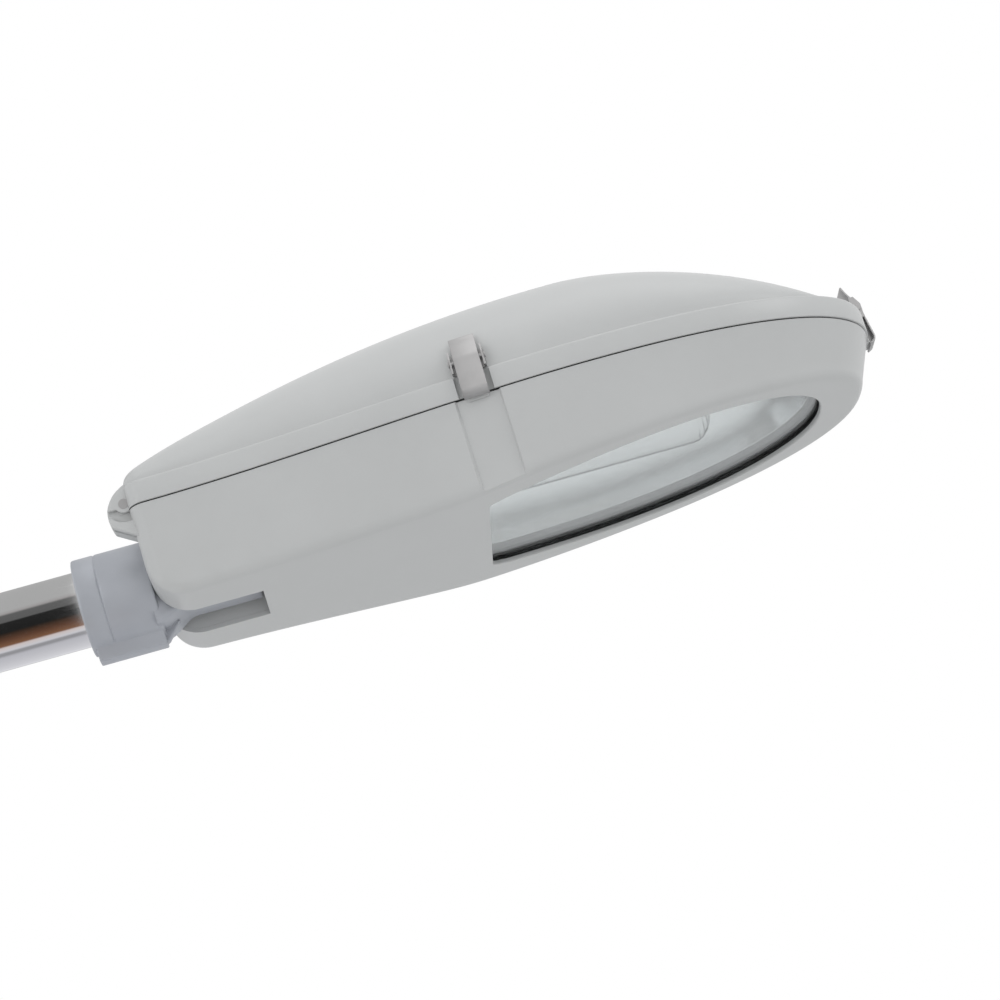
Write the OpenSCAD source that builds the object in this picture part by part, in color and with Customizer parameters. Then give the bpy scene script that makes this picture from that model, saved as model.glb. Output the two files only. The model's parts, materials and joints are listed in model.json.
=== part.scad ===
// Road lantern on a straight arm tube, in millimetres.
// The origin is the centre of the tube's free end, +X runs along the tube to the nose, +Z is up.

/* [Arm tube] */
// Outer diameter of the arm tube
tube_d = 60; // [54:1:66]
// Wall thickness of the arm tube
tube_wall = 3; // [2:0.5:5]
// Length of tube between its free end and the collar
tube_out = 134; // [80:1:400]

/* [Collar and arm] */
// Wall of the clamp collar round the tube
collar_wall = 9; // [8:0.5:11]
// Length of the clamp collar
collar_len = 58; // [52:1:80]
// Length of the end ring that a groove marks off
ring_len = 18; // [10:1:22]
// Depth of that groove
ring_groove = 0.8; // [0.4:0.1:1.5]
// Thickness of the web that stops the tube inside the collar
stop_t = 6; // [4:1:10]
// Depth of the clamp rib below the collar
rib_drop = 8; // [6:1:12]
// Width of the clamp rib at its foot
rib_w = 15; // [13:1:20]
// Width of the arm that carries the lamp head
arm_w = 50; // [44:1:54]
// Height of the arm that carries the lamp head
arm_h = 20; // [17:1:22]
// Length of the arm inside the lamp head
arm_len = 79; // [74:1:90]
// Diameter of the two clamp screws
clamp_screw_d = 8; // [6:1:10]
// Diameter of the two bolts that hold the lamp head on the arm
arm_bolt_d = 8; // [6:1:10]
// Diameter of the cable hole
cable_hole_d = 20; // [16:1:22]

/* [Lamp head] */
// Length from the rear wall to the nose
head_len = 596; // [590:1:640]
// Half width of the rim at the rear wall
rear_half_w = 98.5; // [97:0.5:104]
// Largest half width of the rim
max_half_w = 138.5; // [136:0.5:150]
// Distance from the rear wall to the widest place
widest_at = 368; // [350:1:390]
// Fullness of the round nose, where 2 is an ellipse
nose_power = 2.35; // [2.2:0.05:2.6]
// Radius of the upright rear corners
corner_r = 12; // [9:1:14]

/* [Lower body] */
// Depth of the lower body below the rim at the rear
body_depth = 74; // [72:1:84]
// How far the side walls lean in from the rim to the underside
wall_lean = 17; // [14:1:18]
// Wall thickness of the lower body
body_wall = 3.6; // [3:0.2:4.4]
// Radius between the rear wall and the underside
rear_round = 30; // [24:1:32]
// Size of the rounding between the side wall and the underside
edge_round = 8; // [7:0.5:12]
// Width of the flat rim that carries the seal
body_flange = 6; // [5.5:0.5:7]
// Play at each side of the arm in its channel
channel_play = 6; // [4:0.5:8]
// Depth of the arm's underside above the lower body's underside
channel_drop = 12; // [8:1:14]
// Depth of the panel sunk into the side wall under each latch
panel_sink = 1.8; // [0.8:0.2:2]
// Width of that panel
panel_w = 36; // [32:1:44]

/* [Lens] */
// Distance from the nose to the lens opening
lens_nose = 52; // [48:1:60]
// Distance between the rim's side and the lens opening, at the opening's straight rear end
lens_rear_side = 52.7; // [51.7:0.5:60]
// Distance between the rim's side and the lens opening, at the widest place
lens_side = 38.5; // [38:0.5:44]
// Distance from the rear wall to the lens opening
lens_at = 264; // [262:1:268]
// Thickness of the glass
glass_t = 4.8; // [4:0.2:6]
// Height of the glass seal
seal_h = 8; // [7:0.5:10]
// Height of the reflector bowl
bowl_h = 68; // [50:1:76]
// How far the bowl's wall comes in up to its top
bowl_in = 60; // [45:1:66]

/* [Cover] */
// Height of the upright band round the rim
band_h = 17; // [15:1:20]
// Thickness of that band
band_t = 8; // [7:0.5:9]
// Height of the dome above the band at its highest place
dome_h = 86.5; // [82:0.5:100]
// Height of the dome above the band at the rear
dome_rear_h = 27; // [25:1:40]
// Length over which the dome rises at the rear
dome_run = 60; // [30:1:70]
// Length of the flat ledge between the dome and the nose
dome_ledge = 36; // [20:1:40]
// Wall thickness of the dome
cover_wall = 3.5; // [2.5:0.5:4.5]
// Fullness of the dome's cross section, where 2 is an ellipse
dome_power = 2.1; // [2:0.05:2.4]

/* [Hinge] */
// Diameter of the hinge pins
pin_d = 8; // [6:0.5:8]
// Radial play of the cover on the hinge pins
pin_play = 0.05; // [0.02:0.01:0.1]
// Height of the hinge pins above the rim
pin_up = 5; // [5:0.5:6]
// Distance of the hinge pins behind the rear wall
pin_back = 3; // [3:0.5:4]
// Outer radius of the cover's hinge ears
ear_r = 14; // [12:0.5:15]
// Thickness of the cover's hinge ears
ear_t = 4.3; // [3:0.1:6]
// Width of the body's hinge lugs
lug_w = 17; // [12:1:20]

/* [Latches] */
// Distance from the rear wall to the side latches
latch_at = 275; // [270:1:280]
// Width of the spring strap
strap_w = 20; // [18:1:22]
// Thickness of the spring strap
strap_t = 1.5; // [1.2:0.1:1.8]
// Diameter of the latch pins
latch_pin_d = 3; // [2.4:0.2:3.2]

/* [Lamp and gear] */
// Diameter of the tubular lamp
lamp_d = 46; // [38:1:48]
// Length of the lamp's glass
lamp_len = 200; // [150:1:210]
// Height of the lamp's axis above the rim, below it if negative
lamp_up = -14; // [-16:1:-8]
// Diameter of the screw cap on the lamp
cap_d = 39; // [27:1:40]
// Diameter of the porcelain lampholder
holder_d = 52; // [50:1:54]
// Height of the gear tray above the rim, below it if negative
tray_up = -28; // [-30:1:-24]
// Thickness of the gear tray
tray_t = 1.5; // [1:0.5:2]
// Width of the ballast
ballast_w = 62; // [50:1:64]
// Height of the ballast
ballast_h = 52; // [44:1:58]
// Length of the ballast's iron core
ballast_len = 60; // [50:1:70]
// Diameter of the capacitor
capacitor_d = 38; // [30:1:40]
// Length of the capacitor
capacitor_len = 92; // [80:1:96]
// Diameter of the ignitor
ignitor_d = 32; // [26:1:34]
// Length of the ignitor
ignitor_len = 78; // [66:1:90]

/* [Hidden] */
$fn = 32;

cast_grey = [0.74, 0.745, 0.745];
cast_blue = [0.6, 0.615, 0.64];
steel = [0.72, 0.72, 0.73];
zinc = [0.66, 0.66, 0.64];
black_rubber = [0.07, 0.07, 0.07];
porcelain = [0.9, 0.89, 0.86];

// Gap left between faces that lie beside each other
slip = 0.2;
collar_r = tube_d / 2 + collar_wall;
rear_x = tube_out + collar_len;
rim_z = collar_r + 0.5;
seam = 2;
rim_setback = 1.5;
lens_tilt = 5.5;
shoulder = 5;
arm_low = -body_depth + channel_drop;
arm_top = arm_low + arm_h;
channel_half = arm_w / 2 + channel_play;
channel_end = arm_len + 2;
roof_t = 4;
roof_z = arm_top + roof_t;
bolt_u = [22, 60];
washer_t = 1.6;
bolt_head_h = 5.3;
clamp_x = [14, 40];
neck_len = 26;
cable_up = roof_z + cable_hole_d / 2 + 4.5;
cable_bore_r = cable_hole_d / 2 - 3;
sunk_seam = seam + slip;

// Places what is measured from the rear wall and from the rim plane
module head() translate([rear_x, 0, rim_z]) children();

// Makes a copy on each side
module both_sides() {
    children();
    mirror([0, 1, 0]) children();
}

// Round bar along X, from x0 to x1
module bar_x(x0, x1, r) translate([x0, 0, 0]) rotate([0, 90, 0]) cylinder(r = r, h = x1 - x0);

// Round bar along Y, from y0 to y1
module bar_y(y0, y1, r) translate([0, y1, 0]) rotate([90, 0, 0]) cylinder(r = r, h = y1 - y0);

// Revolves a profile of [radius, distance] points about X
module turn_x() rotate([0, 90, 0]) rotate_extrude($fn = 48) children();

// Box between two corners
module box(a, b) translate(a) cube(b - a);

// Goes smoothly from 0 to 1
function ease(t) = let (s = min(1, max(0, t))) s * s * (3 - 2 * s);

// Loss of width at a distance ahead of a wall whose corner has radius r
function corner(dist, r) = dist >= r ? 0 : r - sqrt(r * r - (r - dist) * (r - dist));

// Stations along the head: distances behind the widest place, and angles ahead of it
rear_stations = concat(
    [for (k = [0:4]) corner_r * (1 - cos(k * 22.5))],
    [for (k = [1:3]) corner_r + k * (rear_round + 2 - corner_r) / 3],
    [for (k = [1:7]) rear_round + 2 + k * (widest_at - rear_round - 2) / 8]
);
nose_angles = [0, 15, 29, 41, 51, 60, 67, 73, 78, 82, 85, 87.5, 89.3];
rear_count = len(rear_stations);
station_count = rear_count + len(nose_angles);
last_station = station_count - 1;

// Half width of the rim outline at distance u, behind the widest place
function rear_w(u) = rear_half_w + (max_half_w - rear_half_w) * ease(u / widest_at);

// Distance and half width of station i on the outline that lies inset from the rim
function plan(i, inset, back = 0) = i < rear_count
    ? let (u = back + rear_stations[i] * (widest_at - back) / widest_at)
        [u, rear_w(u) - inset - corner(u - back, max(2, corner_r - back))]
    : let (a = nose_angles[i - rear_count])
        [widest_at + (head_len - inset - widest_at) * pow(sin(a), 2 / nose_power),
         (max_half_w - inset) * pow(cos(a), 2 / nose_power)];

// Closed outline of the rim, inset by some distance
function plan_outline(inset) = let (half = [for (i = [0:last_station]) plan(i, inset, inset)])
    concat(half, [for (k = [last_station:-1:0]) [half[k][0], -half[k][1]]]);

// Height of the underside, or of the floor that lies off above it
function under_z(u, off = 0) = let (
        r = rear_round - off,
        flat = -body_depth + off,
        dist = u - off,
        low = dist < r ? -body_depth + rear_round - sqrt(max(0, r * r - (r - dist) * (r - dist))) : flat,
        slope = flat + (u - lens_at + 21) * tan(lens_tilt)
    ) (low + slope + sqrt((low - slope) * (low - slope) + 4)) / 2;

// Height of the dome above the band
function dome(u) = u < widest_at - shoulder
    ? (dome_rear_h + (dome_h - dome_rear_h) * (1 - pow(1 - u / (widest_at - shoulder), 2.27)))
        * (0.2 + 0.8 * pow(1 - pow(1 - min(1, u / dome_run), 2.5), 0.2))
    : let (t = (u - widest_at + shoulder) / (head_len - dome_ledge - widest_at + shoulder))
        t < 1 ? dome_h * pow(1 - pow(t, 1.62), 0.75) : 0;

// Joins a half section to its mirror image
function both(half, side = 1) = concat(
    [for (p = half) [p[0], side * p[1], p[2]]],
    [for (k = [len(half) - 1:-1:0]) if (half[k][1] > 0.01) [half[k][0], -side * half[k][1], half[k][2]]]);

// A section's point at height z, and one at height dz above the underside or the floor
function rim_pt(i, inset, z, back = 0) = let (p = plan(i, inset, back)) [p[0], p[1], z];
function low_pt(i, inset, dz, off = 0) = let (p = plan(i, inset, off)) [p[0], p[1], under_z(p[0], off) + dz];

// Point at t on the curve from a to b that bends round corner c
function bend(a, c, b, t) = (1 - t) * (1 - t) * a + 2 * t * (1 - t) * c + t * t * b;

function body_outer(i) = let (
        a = low_pt(i, wall_lean * (1 - edge_round / body_depth), edge_round),
        c = low_pt(i, wall_lean, 0),
        b = low_pt(i, wall_lean + edge_round, 0)
    ) both(concat([rim_pt(i, rim_setback, -seam)], [for (t = [0:0.25:1]) bend(a, c, b, t)]));

function body_inner(i) = let (
        flange = rim_setback + body_flange,
        foot = body_wall + wall_lean,
        a = low_pt(i, foot - 2, edge_round, body_wall),
        c = low_pt(i, foot, 0, body_wall),
        b = low_pt(i, foot + edge_round, 0, body_wall)
    ) both([rim_pt(i, flange, -seam, body_wall), rim_pt(i, flange, -seam - 8, body_wall), a, bend(a, c, b, 0.5), b]);

// Dome points of one section, standing on height base, that are lower than the outside by loss
function dome_pts(i, inset, base, loss, back, steps) = let (p = plan(i, inset, back))
    [for (k = [0:steps]) let (f = 90 * k / steps)
        [p[0], p[1] * (k == steps ? 0 : pow(cos(f), 2 / dome_power)),
         base + max(0.5, dome(p[0]) - loss) * pow(sin(f), 2 / dome_power)]];

function cover_outer(i) = both(concat(
    [rim_pt(i, 0, 0), rim_pt(i, 0, band_h - 2), rim_pt(i, 1.5, band_h)],
    dome_pts(i, shoulder, band_h + 1, 0, 0, 8)), -1);

function cover_inner(i) = both(concat(
    [rim_pt(i, band_t, 0, cover_wall)],
    dome_pts(i, band_t + 0.5, band_h + 0.5 - cover_wall, 0.5, cover_wall, 6)), -1);

// Closed shell between two grids of sections that meet along their open edge
module shell(outer, inner) {
    m = len(outer);
    a = len(outer[0]);
    b = len(inner[0]);
    base = m * a;
    n = m - 1;
    skin_out = [for (i = [0:n - 1]) for (j = [0:a - 2])
        [i * a + j, i * a + j + 1, (i + 1) * a + j + 1, (i + 1) * a + j]];
    skin_in = [for (i = [0:n - 1]) for (j = [0:b - 2])
        [base + i * b + j, base + (i + 1) * b + j, base + (i + 1) * b + j + 1, base + i * b + j + 1]];
    near_edge = [for (i = [0:n - 1]) [i * a, (i + 1) * a, base + (i + 1) * b, base + i * b]];
    far_edge = [for (i = [0:n - 1])
        [i * a + a - 1, base + i * b + b - 1, base + (i + 1) * b + b - 1, (i + 1) * a + a - 1]];
    rear_caps = [
        [for (j = [a - 1:-1:0]) j],
        [for (j = [0:b - 1]) base + j],
        [0, base, base + b - 1, a - 1],
        [n * a, n * a + a - 1, base + n * b + b - 1, base + n * b]
    ];
    nose_out = [for (j = [0:floor(a / 2) - 1]) let (q = a - 1 - j)
        q - j > 2 ? [n * a + j, n * a + j + 1, n * a + q - 1, n * a + q] : [n * a + j, n * a + j + 1, n * a + q]];
    nose_in = [for (j = [0:floor(b / 2) - 1]) let (q = b - 1 - j, c = base + n * b)
        q - j > 2 ? [c + q, c + q - 1, c + j + 1, c + j] : [c + q, c + j + 1, c + j]];
    polyhedron(concat([for (s = outer) each s], [for (s = inner) each s]),
        concat(skin_out, skin_in, near_edge, far_edge, rear_caps, nose_out, nose_in), convexity = 8);
}

// Arm tube

tube_end = rear_x - stop_t;
seat_r = tube_d / 2 - 0.4;
collar_bore_r = seat_r + slip;

// The end inside the collar is turned down a little to its seat
module arm_tube() {
    color([0.8, 0.8, 0.8]) difference() {
        union() {
            bar_x(0, tube_out - 0.3, tube_d / 2, $fn = 64);
            bar_x(tube_out - 1, tube_end, seat_r, $fn = 64);
        }
        bar_x(-1, tube_end + 1, tube_d / 2 - tube_wall, $fn = 64);
    }
}

// Collar with its clamp rib, stop web, arm and gusset, cast as one

module collar_profile() {
    chamfer = 1.5;
    polygon([
        [collar_bore_r, 0],
        [collar_r - chamfer, 0],
        [collar_r, chamfer],
        [collar_r, ring_len - ring_groove],
        [collar_r - ring_groove, ring_len],
        [collar_r, ring_len + ring_groove],
        [collar_r, collar_len],
        [0, collar_len],
        [0, collar_len - stop_t],
        [collar_bore_r, collar_len - stop_t]
    ]);
}

module clamp_rib() {
    root_w = rib_w + 16;
    root_z = -collar_r + 6;
    foot_z = -collar_r - rib_drop;
    translate([3, 0, 0]) rotate([90, 0, 90]) linear_extrude(collar_len - 4) polygon([
        [-root_w / 2, root_z],
        [-rib_w / 2 - 2, -collar_r - 1],
        [-rib_w / 2, foot_z + 1.5],
        [-rib_w / 2 + 1.5, foot_z],
        [rib_w / 2 - 1.5, foot_z],
        [rib_w / 2, foot_z + 1.5],
        [rib_w / 2 + 2, -collar_r - 1],
        [root_w / 2, root_z]
    ]);
}

// Neck between the collar and the arm: what its side view and its plan have in common
module neck() {
    low = rim_z + arm_low;
    half = channel_half - 1.5;
    intersection() {
        translate([0, half, 0]) rotate([90, 0, 0]) linear_extrude(2 * half) polygon([
            [rear_x - stop_t + 0.5, rim_z + arm_top - 0.3],
            [rear_x - stop_t + 0.5, -collar_r + 4],
            [rear_x, -collar_r + 4],
            [rear_x + neck_len, low + 0.5],
            [rear_x + neck_len, rim_z + arm_top - 0.3]
        ]);
        translate([0, 0, -collar_r]) linear_extrude(2 * collar_r) polygon([
            [rear_x - stop_t + 0.5, -half],
            [rear_x + 4, -half],
            [rear_x + neck_len, -arm_w / 2 + 1],
            [rear_x + neck_len, arm_w / 2 - 1],
            [rear_x + 4, half],
            [rear_x - stop_t + 0.5, half]
        ]);
    }
}

module spigot_bracket() {
    low = rim_z + arm_low;
    color(cast_blue) difference() {
        union() {
            translate([tube_out, 0, 0]) {
                turn_x() collar_profile();
                clamp_rib();
            }
            neck();
            box([rear_x - stop_t, -arm_w / 2, low], [rear_x + arm_len, arm_w / 2, rim_z + arm_top]);
            translate([0, 4, 0]) rotate([90, 0, 0]) linear_extrude(8) polygon([
                [rear_x - 3, low + 1],
                [rear_x - 3, -collar_r - rib_drop + 5],
                [rear_x + 2, -collar_r - rib_drop + 9],
                [rear_x + 15, low + 1]
            ]);
        }
        bar_x(tube_out - 1, rear_x - stop_t, collar_bore_r, $fn = 64);
        translate([0, 0, rim_z + cable_up]) bar_x(rear_x - stop_t - 1, rear_x + 1, cable_hole_d / 2);
        for (x = clamp_x) translate([tube_out + x, 0, tube_d / 2 - 2]) cylinder(d = clamp_screw_d, h = collar_r);
        for (u = bolt_u)
            translate([rear_x + u, 0, rim_z + arm_top - arm_h + 4]) cylinder(d = arm_bolt_d, h = arm_h);
    }
}

module clamp_screws() {
    length = collar_r - seat_r - slip - 1;
    color(zinc) for (x = clamp_x) translate([tube_out + x, 0, seat_r + slip / 2]) difference() {
        cylinder(r = clamp_screw_d / 2 - 0.05, h = length);
        translate([0, 0, length - 4]) cylinder(d = clamp_screw_d / 2, h = 5, $fn = 6);
    }
}

module bracket_bolts() {
    washer_top = roof_z + washer_t;
    color(zinc) head() for (u = bolt_u) translate([u, 0, 0]) {
        translate([0, 0, washer_top]) cylinder(r = arm_bolt_d * 0.92, h = bolt_head_h, $fn = 6);
        translate([0, 0, arm_low + 5]) cylinder(r = arm_bolt_d / 2 - 0.05, h = washer_top - arm_low - 4.5);
    }
}

module bolt_washers() {
    color(zinc) head() for (u = bolt_u) translate([u, 0, roof_z]) difference() {
        cylinder(r = arm_bolt_d * 1.06, h = washer_t);
        translate([0, 0, -1]) cylinder(r = arm_bolt_d / 2 + slip, h = washer_t + 2);
    }
}

// Lens opening, drawn on the sloping underside of the front part

// Half width of the lens opening at distance s from its rear end
lens_len = head_len - lens_at - lens_nose;
lens_mid = lens_len * 0.482;
lens_rear_w = rear_w(lens_at) - lens_rear_side;
lens_max_w = max_half_w - lens_side;
lens_power = 2.2;
function lens_w(s) = s <= lens_mid
    ? lens_rear_w + (lens_max_w - lens_rear_w) * sin(90 * max(0, s) / lens_mid)
    : lens_max_w * pow(max(0, 1 - pow((s - lens_mid) / (lens_len - lens_mid), lens_power)), 1 / lens_power);

// Outline of the lens opening, made wider all round by grow
lens_back_steps = 5;
lens_front_angles = [14, 28, 42, 54, 66, 76, 84, 90];
function lens_half(grow) = concat(
    [[-grow, lens_rear_w + grow - 6]],
    [for (k = [0:lens_back_steps]) let (s = 6 - grow + k * (lens_mid - 6 + grow) / lens_back_steps)
        [s, lens_w(s) + grow]],
    [for (a = lens_front_angles) [
        lens_mid + (lens_len + grow - lens_mid) * pow(sin(a), 2 / lens_power),
        a == 90 ? 0 : (lens_max_w + grow) * pow(cos(a), 2 / lens_power)]]);
function lens_outline(grow) = let (half = lens_half(grow), n = len(half))
    concat(half, [for (k = [n - 2:-1:0]) [half[k][0], -half[k][1]]]);

lens_z = -body_depth + 21 * tan(lens_tilt);

// Places what lies on the lens plane, where local Z is square to it and 0 is the body's skin
module on_lens() translate([lens_at, 0, lens_z]) rotate([0, -lens_tilt, 0]) children();

module lens_slab(grow, z0, z1) translate([0, 0, z0]) linear_extrude(z1 - z0) polygon(lens_outline(grow));

module lens_ring(outer, inner, z0, z1) difference() {
    lens_slab(outer, z0, z1);
    lens_slab(inner, z0 - 1, z1 + 1);
}

// Places a child beside the lens opening, turned so that its local X points away from the opening
module beside_lens(s) {
    slope = atan(lens_w(s + 0.5) - lens_w(s - 0.5));
    translate([s, lens_w(s), 0]) rotate([0, 0, 90 + slope]) children();
}

seat_z = 4;
seal_top = seat_z + seal_h;
seal_in = 1;
seal_out = 7.5;
clip_s = [38, lens_mid, lens_len - 58];
tab_s = [for (k = [0, 1]) (clip_s[k] + clip_s[k + 1]) / 2];
post_at = 11.8;
post_r = 4;
clip_screw_d = 4;
tab_z = seal_top + 1;

module lens_glass() {
    mid = seat_z + seal_h / 2;
    color([0.8, 0.86, 0.86, 0.35]) head() on_lens()
        lens_slab(6, mid - glass_t / 2, mid + glass_t / 2);
}

module lens_seal() {
    mid = seat_z + seal_h / 2;
    groove = glass_t / 2 + 0.1;
    color(black_rubber) head() on_lens() difference() {
        lens_slab(seal_out, seat_z, seal_top);
        lens_slab(seal_in, seat_z - 1, seal_top + 1);
        lens_slab(6.2, mid - groove, mid + groove);
    }
}

module clip_screw(z) translate([post_at, 0, z]) {
    cylinder(r = clip_screw_d * 0.9, h = 2.4);
    translate([0, 0, -8]) cylinder(r = clip_screw_d / 2 - 0.05, h = 8.5);
}

module lens_clips() {
    color(steel) head() on_lens() both_sides() for (s = clip_s) beside_lens(s) difference() {
        translate([4, -6, seal_top]) cube([post_at + post_r - 4, 12, 1.5]);
        translate([post_at, 0, seal_top - 1]) cylinder(r = clip_screw_d / 2 + slip, h = 4);
    }
}

module lens_clip_screws() {
    color(zinc) head() on_lens() both_sides() for (s = clip_s) beside_lens(s) clip_screw(seal_top + 1.5);
}

// Reflector: a skirt, a narrow ledge and a bowl, pressed from one sheet

sheet_t = 1;
skirt_h = 8;
ledge = 3.5;
bowl_steps = 5;
skirt_from = tab_z + 0.3;
bowl_levels = concat(
    [[0, skirt_from], [0, tab_z + skirt_h], [-ledge, tab_z + skirt_h + 0.6]],
    [for (k = [1:bowl_steps]) let (a = 90 * k / bowl_steps)
        [-ledge - bowl_in * (1 - cos(a)), tab_z + skirt_h + 0.6 + bowl_h * sin(a)]]
);

module reflector_shell() {
    outside = [for (v = bowl_levels) let (z = v[1] > skirt_from ? v[1] + sheet_t : v[1])
        [for (p = lens_outline(v[0] + sheet_t)) [p[0], p[1], z]]];
    inside = [for (v = bowl_levels) [for (p = lens_outline(v[0])) [p[0], p[1], v[1]]]];
    n = len(outside[0]);
    m = len(bowl_levels);
    base = n * m;
    walls_out = [for (i = [0:m - 2]) for (j = [0:n - 1]) let (k = (j + 1) % n)
        [i * n + j, i * n + k, (i + 1) * n + k, (i + 1) * n + j]];
    walls_in = [for (i = [0:m - 2]) for (j = [0:n - 1]) let (k = (j + 1) % n)
        [base + i * n + j, base + (i + 1) * n + j, base + (i + 1) * n + k, base + i * n + k]];
    foot = [for (j = [0:n - 1]) let (k = (j + 1) % n) [j, base + j, base + k, k]];
    tops = [[for (j = [0:n - 1]) (m - 1) * n + j], [for (j = [n - 1:-1:0]) base + (m - 1) * n + j]];
    polyhedron(concat([for (r = outside) each r], [for (r = inside) each r]),
        concat(walls_out, walls_in, foot, tops), convexity = 8);
}

module reflector() {
    color([0.86, 0.87, 0.88]) head() difference() {
        union() {
            on_lens() {
                reflector_shell();
                both_sides() for (s = tab_s) beside_lens(s) translate([0.3, -6, tab_z]) cube([post_at + post_r - 0.3, 12, sheet_t]);
            }
        }
        translate([0, 0, lamp_up]) bar_x(lens_at - 20, lens_at + 45, lamp_d / 2 + 3);
        on_lens() both_sides() for (s = tab_s) beside_lens(s)
            translate([post_at, 0, tab_z - 1]) cylinder(r = clip_screw_d / 2 + slip, h = 4);
    }
}

module reflector_screws() {
    color(zinc) head() on_lens() both_sides() for (s = tab_s) beside_lens(s) clip_screw(tab_z + sheet_t);
}

// Lower body

// Screw holes that reach down 10 from height z
module screw_hole(d, z) translate([0, 0, z - 10]) cylinder(d = d, h = 11);

// Side view of the channel's walls, which follow the rounded rear of the body
module channel_side() difference() {
    translate([0, -body_depth + 0.3]) square([channel_end + body_wall, body_depth - 0.3 + roof_z]);
    difference() {
        translate([-1, -body_depth - 1]) square([rear_round + 1, rear_round + 1]);
        translate([rear_round, -body_depth + rear_round]) circle(r = rear_round - 0.3, $fn = 64);
    }
}

module channel_walls() {
    half = channel_half + body_wall;
    translate([0, half, 0]) rotate([90, 0, 0]) linear_extrude(2 * half) channel_side();
}

module channel_cut() box([-5, -channel_half, -body_depth - 10], [channel_end, channel_half, arm_top]);

ear_out = rear_half_w - corner_r + 0.5;
lug_out = ear_out - ear_t - 0.3;
hub_r = pin_d / 2 + 3;
lug_hub_r = hub_r + 1;

lug_web_out = lug_out - 4.2;
lug_foot_end = pin_back + body_wall - 0.8;

// Side view of a hinge lug's foot, measured from the pin
module lug_foot() polygon([
    [-ear_r + 0.4, -1],
    [-ear_r - 0.2, -pin_up],
    [-ear_r - 0.2, -pin_up - 4.5],
    [-ear_r + 0.8, -pin_up - 9],
    [-ear_r + 1.9, -pin_up - 11.7],
    [lug_foot_end, -pin_up - 12 - (lug_foot_end + ear_r) * 0.55],
    [lug_foot_end, -pin_up - seam - 1],
    [0, -1]
]);

// A lug is a hub round the pin, a foot cast onto the rear wall, and an outer plate that the cover's ear turns above
module hinge_lugs() both_sides() translate([-pin_back, 0, pin_up]) {
    bar_y(lug_out - lug_w, lug_out, lug_hub_r);
    translate([0, lug_web_out, 0]) rotate([90, 0, 0]) linear_extrude(lug_w - lug_out + lug_web_out)
        lug_foot();
    translate([0, ear_out, 0]) rotate([90, 0, 0]) linear_extrude(ear_out - lug_web_out + 0.5) difference() {
        lug_foot();
        circle(r = ear_r + 0.4, $fn = 64);
    }
}

module pin_hole() bar_y(-max_half_w, max_half_w, pin_d / 2 + pin_play);

tray_from = 34;
tray_to = 176;
tray_posts = [[44, 62], [168, 72]];
tray_screw_d = 4;
foot_u = 202;
foot_y = 16;
foot_z = -60;

// Places a child at a side latch: local X points out of the rim, local Y runs along it
latch_slope = atan((rear_w(latch_at + 0.5) - rear_w(latch_at - 0.5)));
module at_right_latch() translate([latch_at, -rear_w(latch_at), 0]) rotate([0, 0, -90 - latch_slope]) children();
module at_left_latch() mirror([0, 1, 0]) at_right_latch() children();
module at_nose_latch() translate([head_len, 0, 0]) children();
module at_latches() {
    at_right_latch() children();
    at_left_latch() children();
    at_nose_latch() children();
}

wall_angle = atan(wall_lean / body_depth);

// How far the catch that a strap hooks under stands out of the rim
catch_out = 1.4;

// Cuts the sunk panel under a side latch, square to the leaning wall
module panel_cut() translate([-rim_setback, 0, -seam]) rotate([0, wall_angle, 0])
    box([-panel_sink, -panel_w / 2, -body_depth - 6], [8, panel_w / 2, 4]);

// A lip that stands on the rim in the cover's notch and reaches out over the strap's hook
module catch_bar() across_rim(17) polygon([
    [-7, -seam - 3],
    [-2.6, -seam - 3],
    [-2.6, -seam - 0.3],
    [catch_out, -seam - 0.3],
    [catch_out, 1],
    [-3.5, 1],
    [-3.5, -seam - 0.2],
    [-7, -seam - 0.2]
]);

module lower_body() {
    color(cast_grey) head() difference() {
        union() {
            difference() {
                shell([for (i = [0:last_station]) body_outer(i)], [for (i = [0:last_station]) body_inner(i)]);
                at_right_latch() panel_cut();
                at_left_latch() panel_cut();
                on_lens() lens_slab(seal_out + 3, seat_z, seat_z + 4);
            }
            channel_walls();
            hinge_lugs();
            at_latches() catch_bar();
            on_lens() {
                lens_ring(seal_out + 3, 0, 0.8, seat_z);
                both_sides() for (s = clip_s) beside_lens(s) translate([post_at, 0, 1]) cylinder(r = post_r, h = seal_top - 1);
                both_sides() for (s = tab_s) beside_lens(s) translate([post_at, 0, 1]) cylinder(r = post_r, h = tab_z - 1);
            }
            both_sides() for (p = tray_posts)
                translate([p[0], p[1], -body_depth + 1]) cylinder(r = 5, h = body_depth - 1 + tray_up);
            both_sides() translate([foot_u, foot_y, -body_depth + 1]) cylinder(r = 5, h = body_depth - 1 + foot_z);
        }
        on_lens() both_sides() {
            for (s = clip_s) beside_lens(s) translate([post_at, 0, 0]) screw_hole(clip_screw_d, seal_top);
            for (s = tab_s) beside_lens(s) translate([post_at, 0, 0]) screw_hole(clip_screw_d, tab_z);
        }
        both_sides() for (p = tray_posts) translate([p[0], p[1], 0]) screw_hole(tray_screw_d, tray_up);
        both_sides() translate([foot_u, foot_y, 0]) screw_hole(tray_screw_d, foot_z);
        channel_cut();
        on_lens() lens_slab(0, -10, seat_z + 1);
        translate([0, 0, cable_up]) bar_x(-1, body_wall + 1, cable_hole_d / 2);
        translate([-pin_back, 0, pin_up]) pin_hole();
        for (u = bolt_u) translate([u, 0, arm_top - 1]) cylinder(r = arm_bolt_d / 2 + slip, h = roof_t + 2);
    }
}

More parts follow.
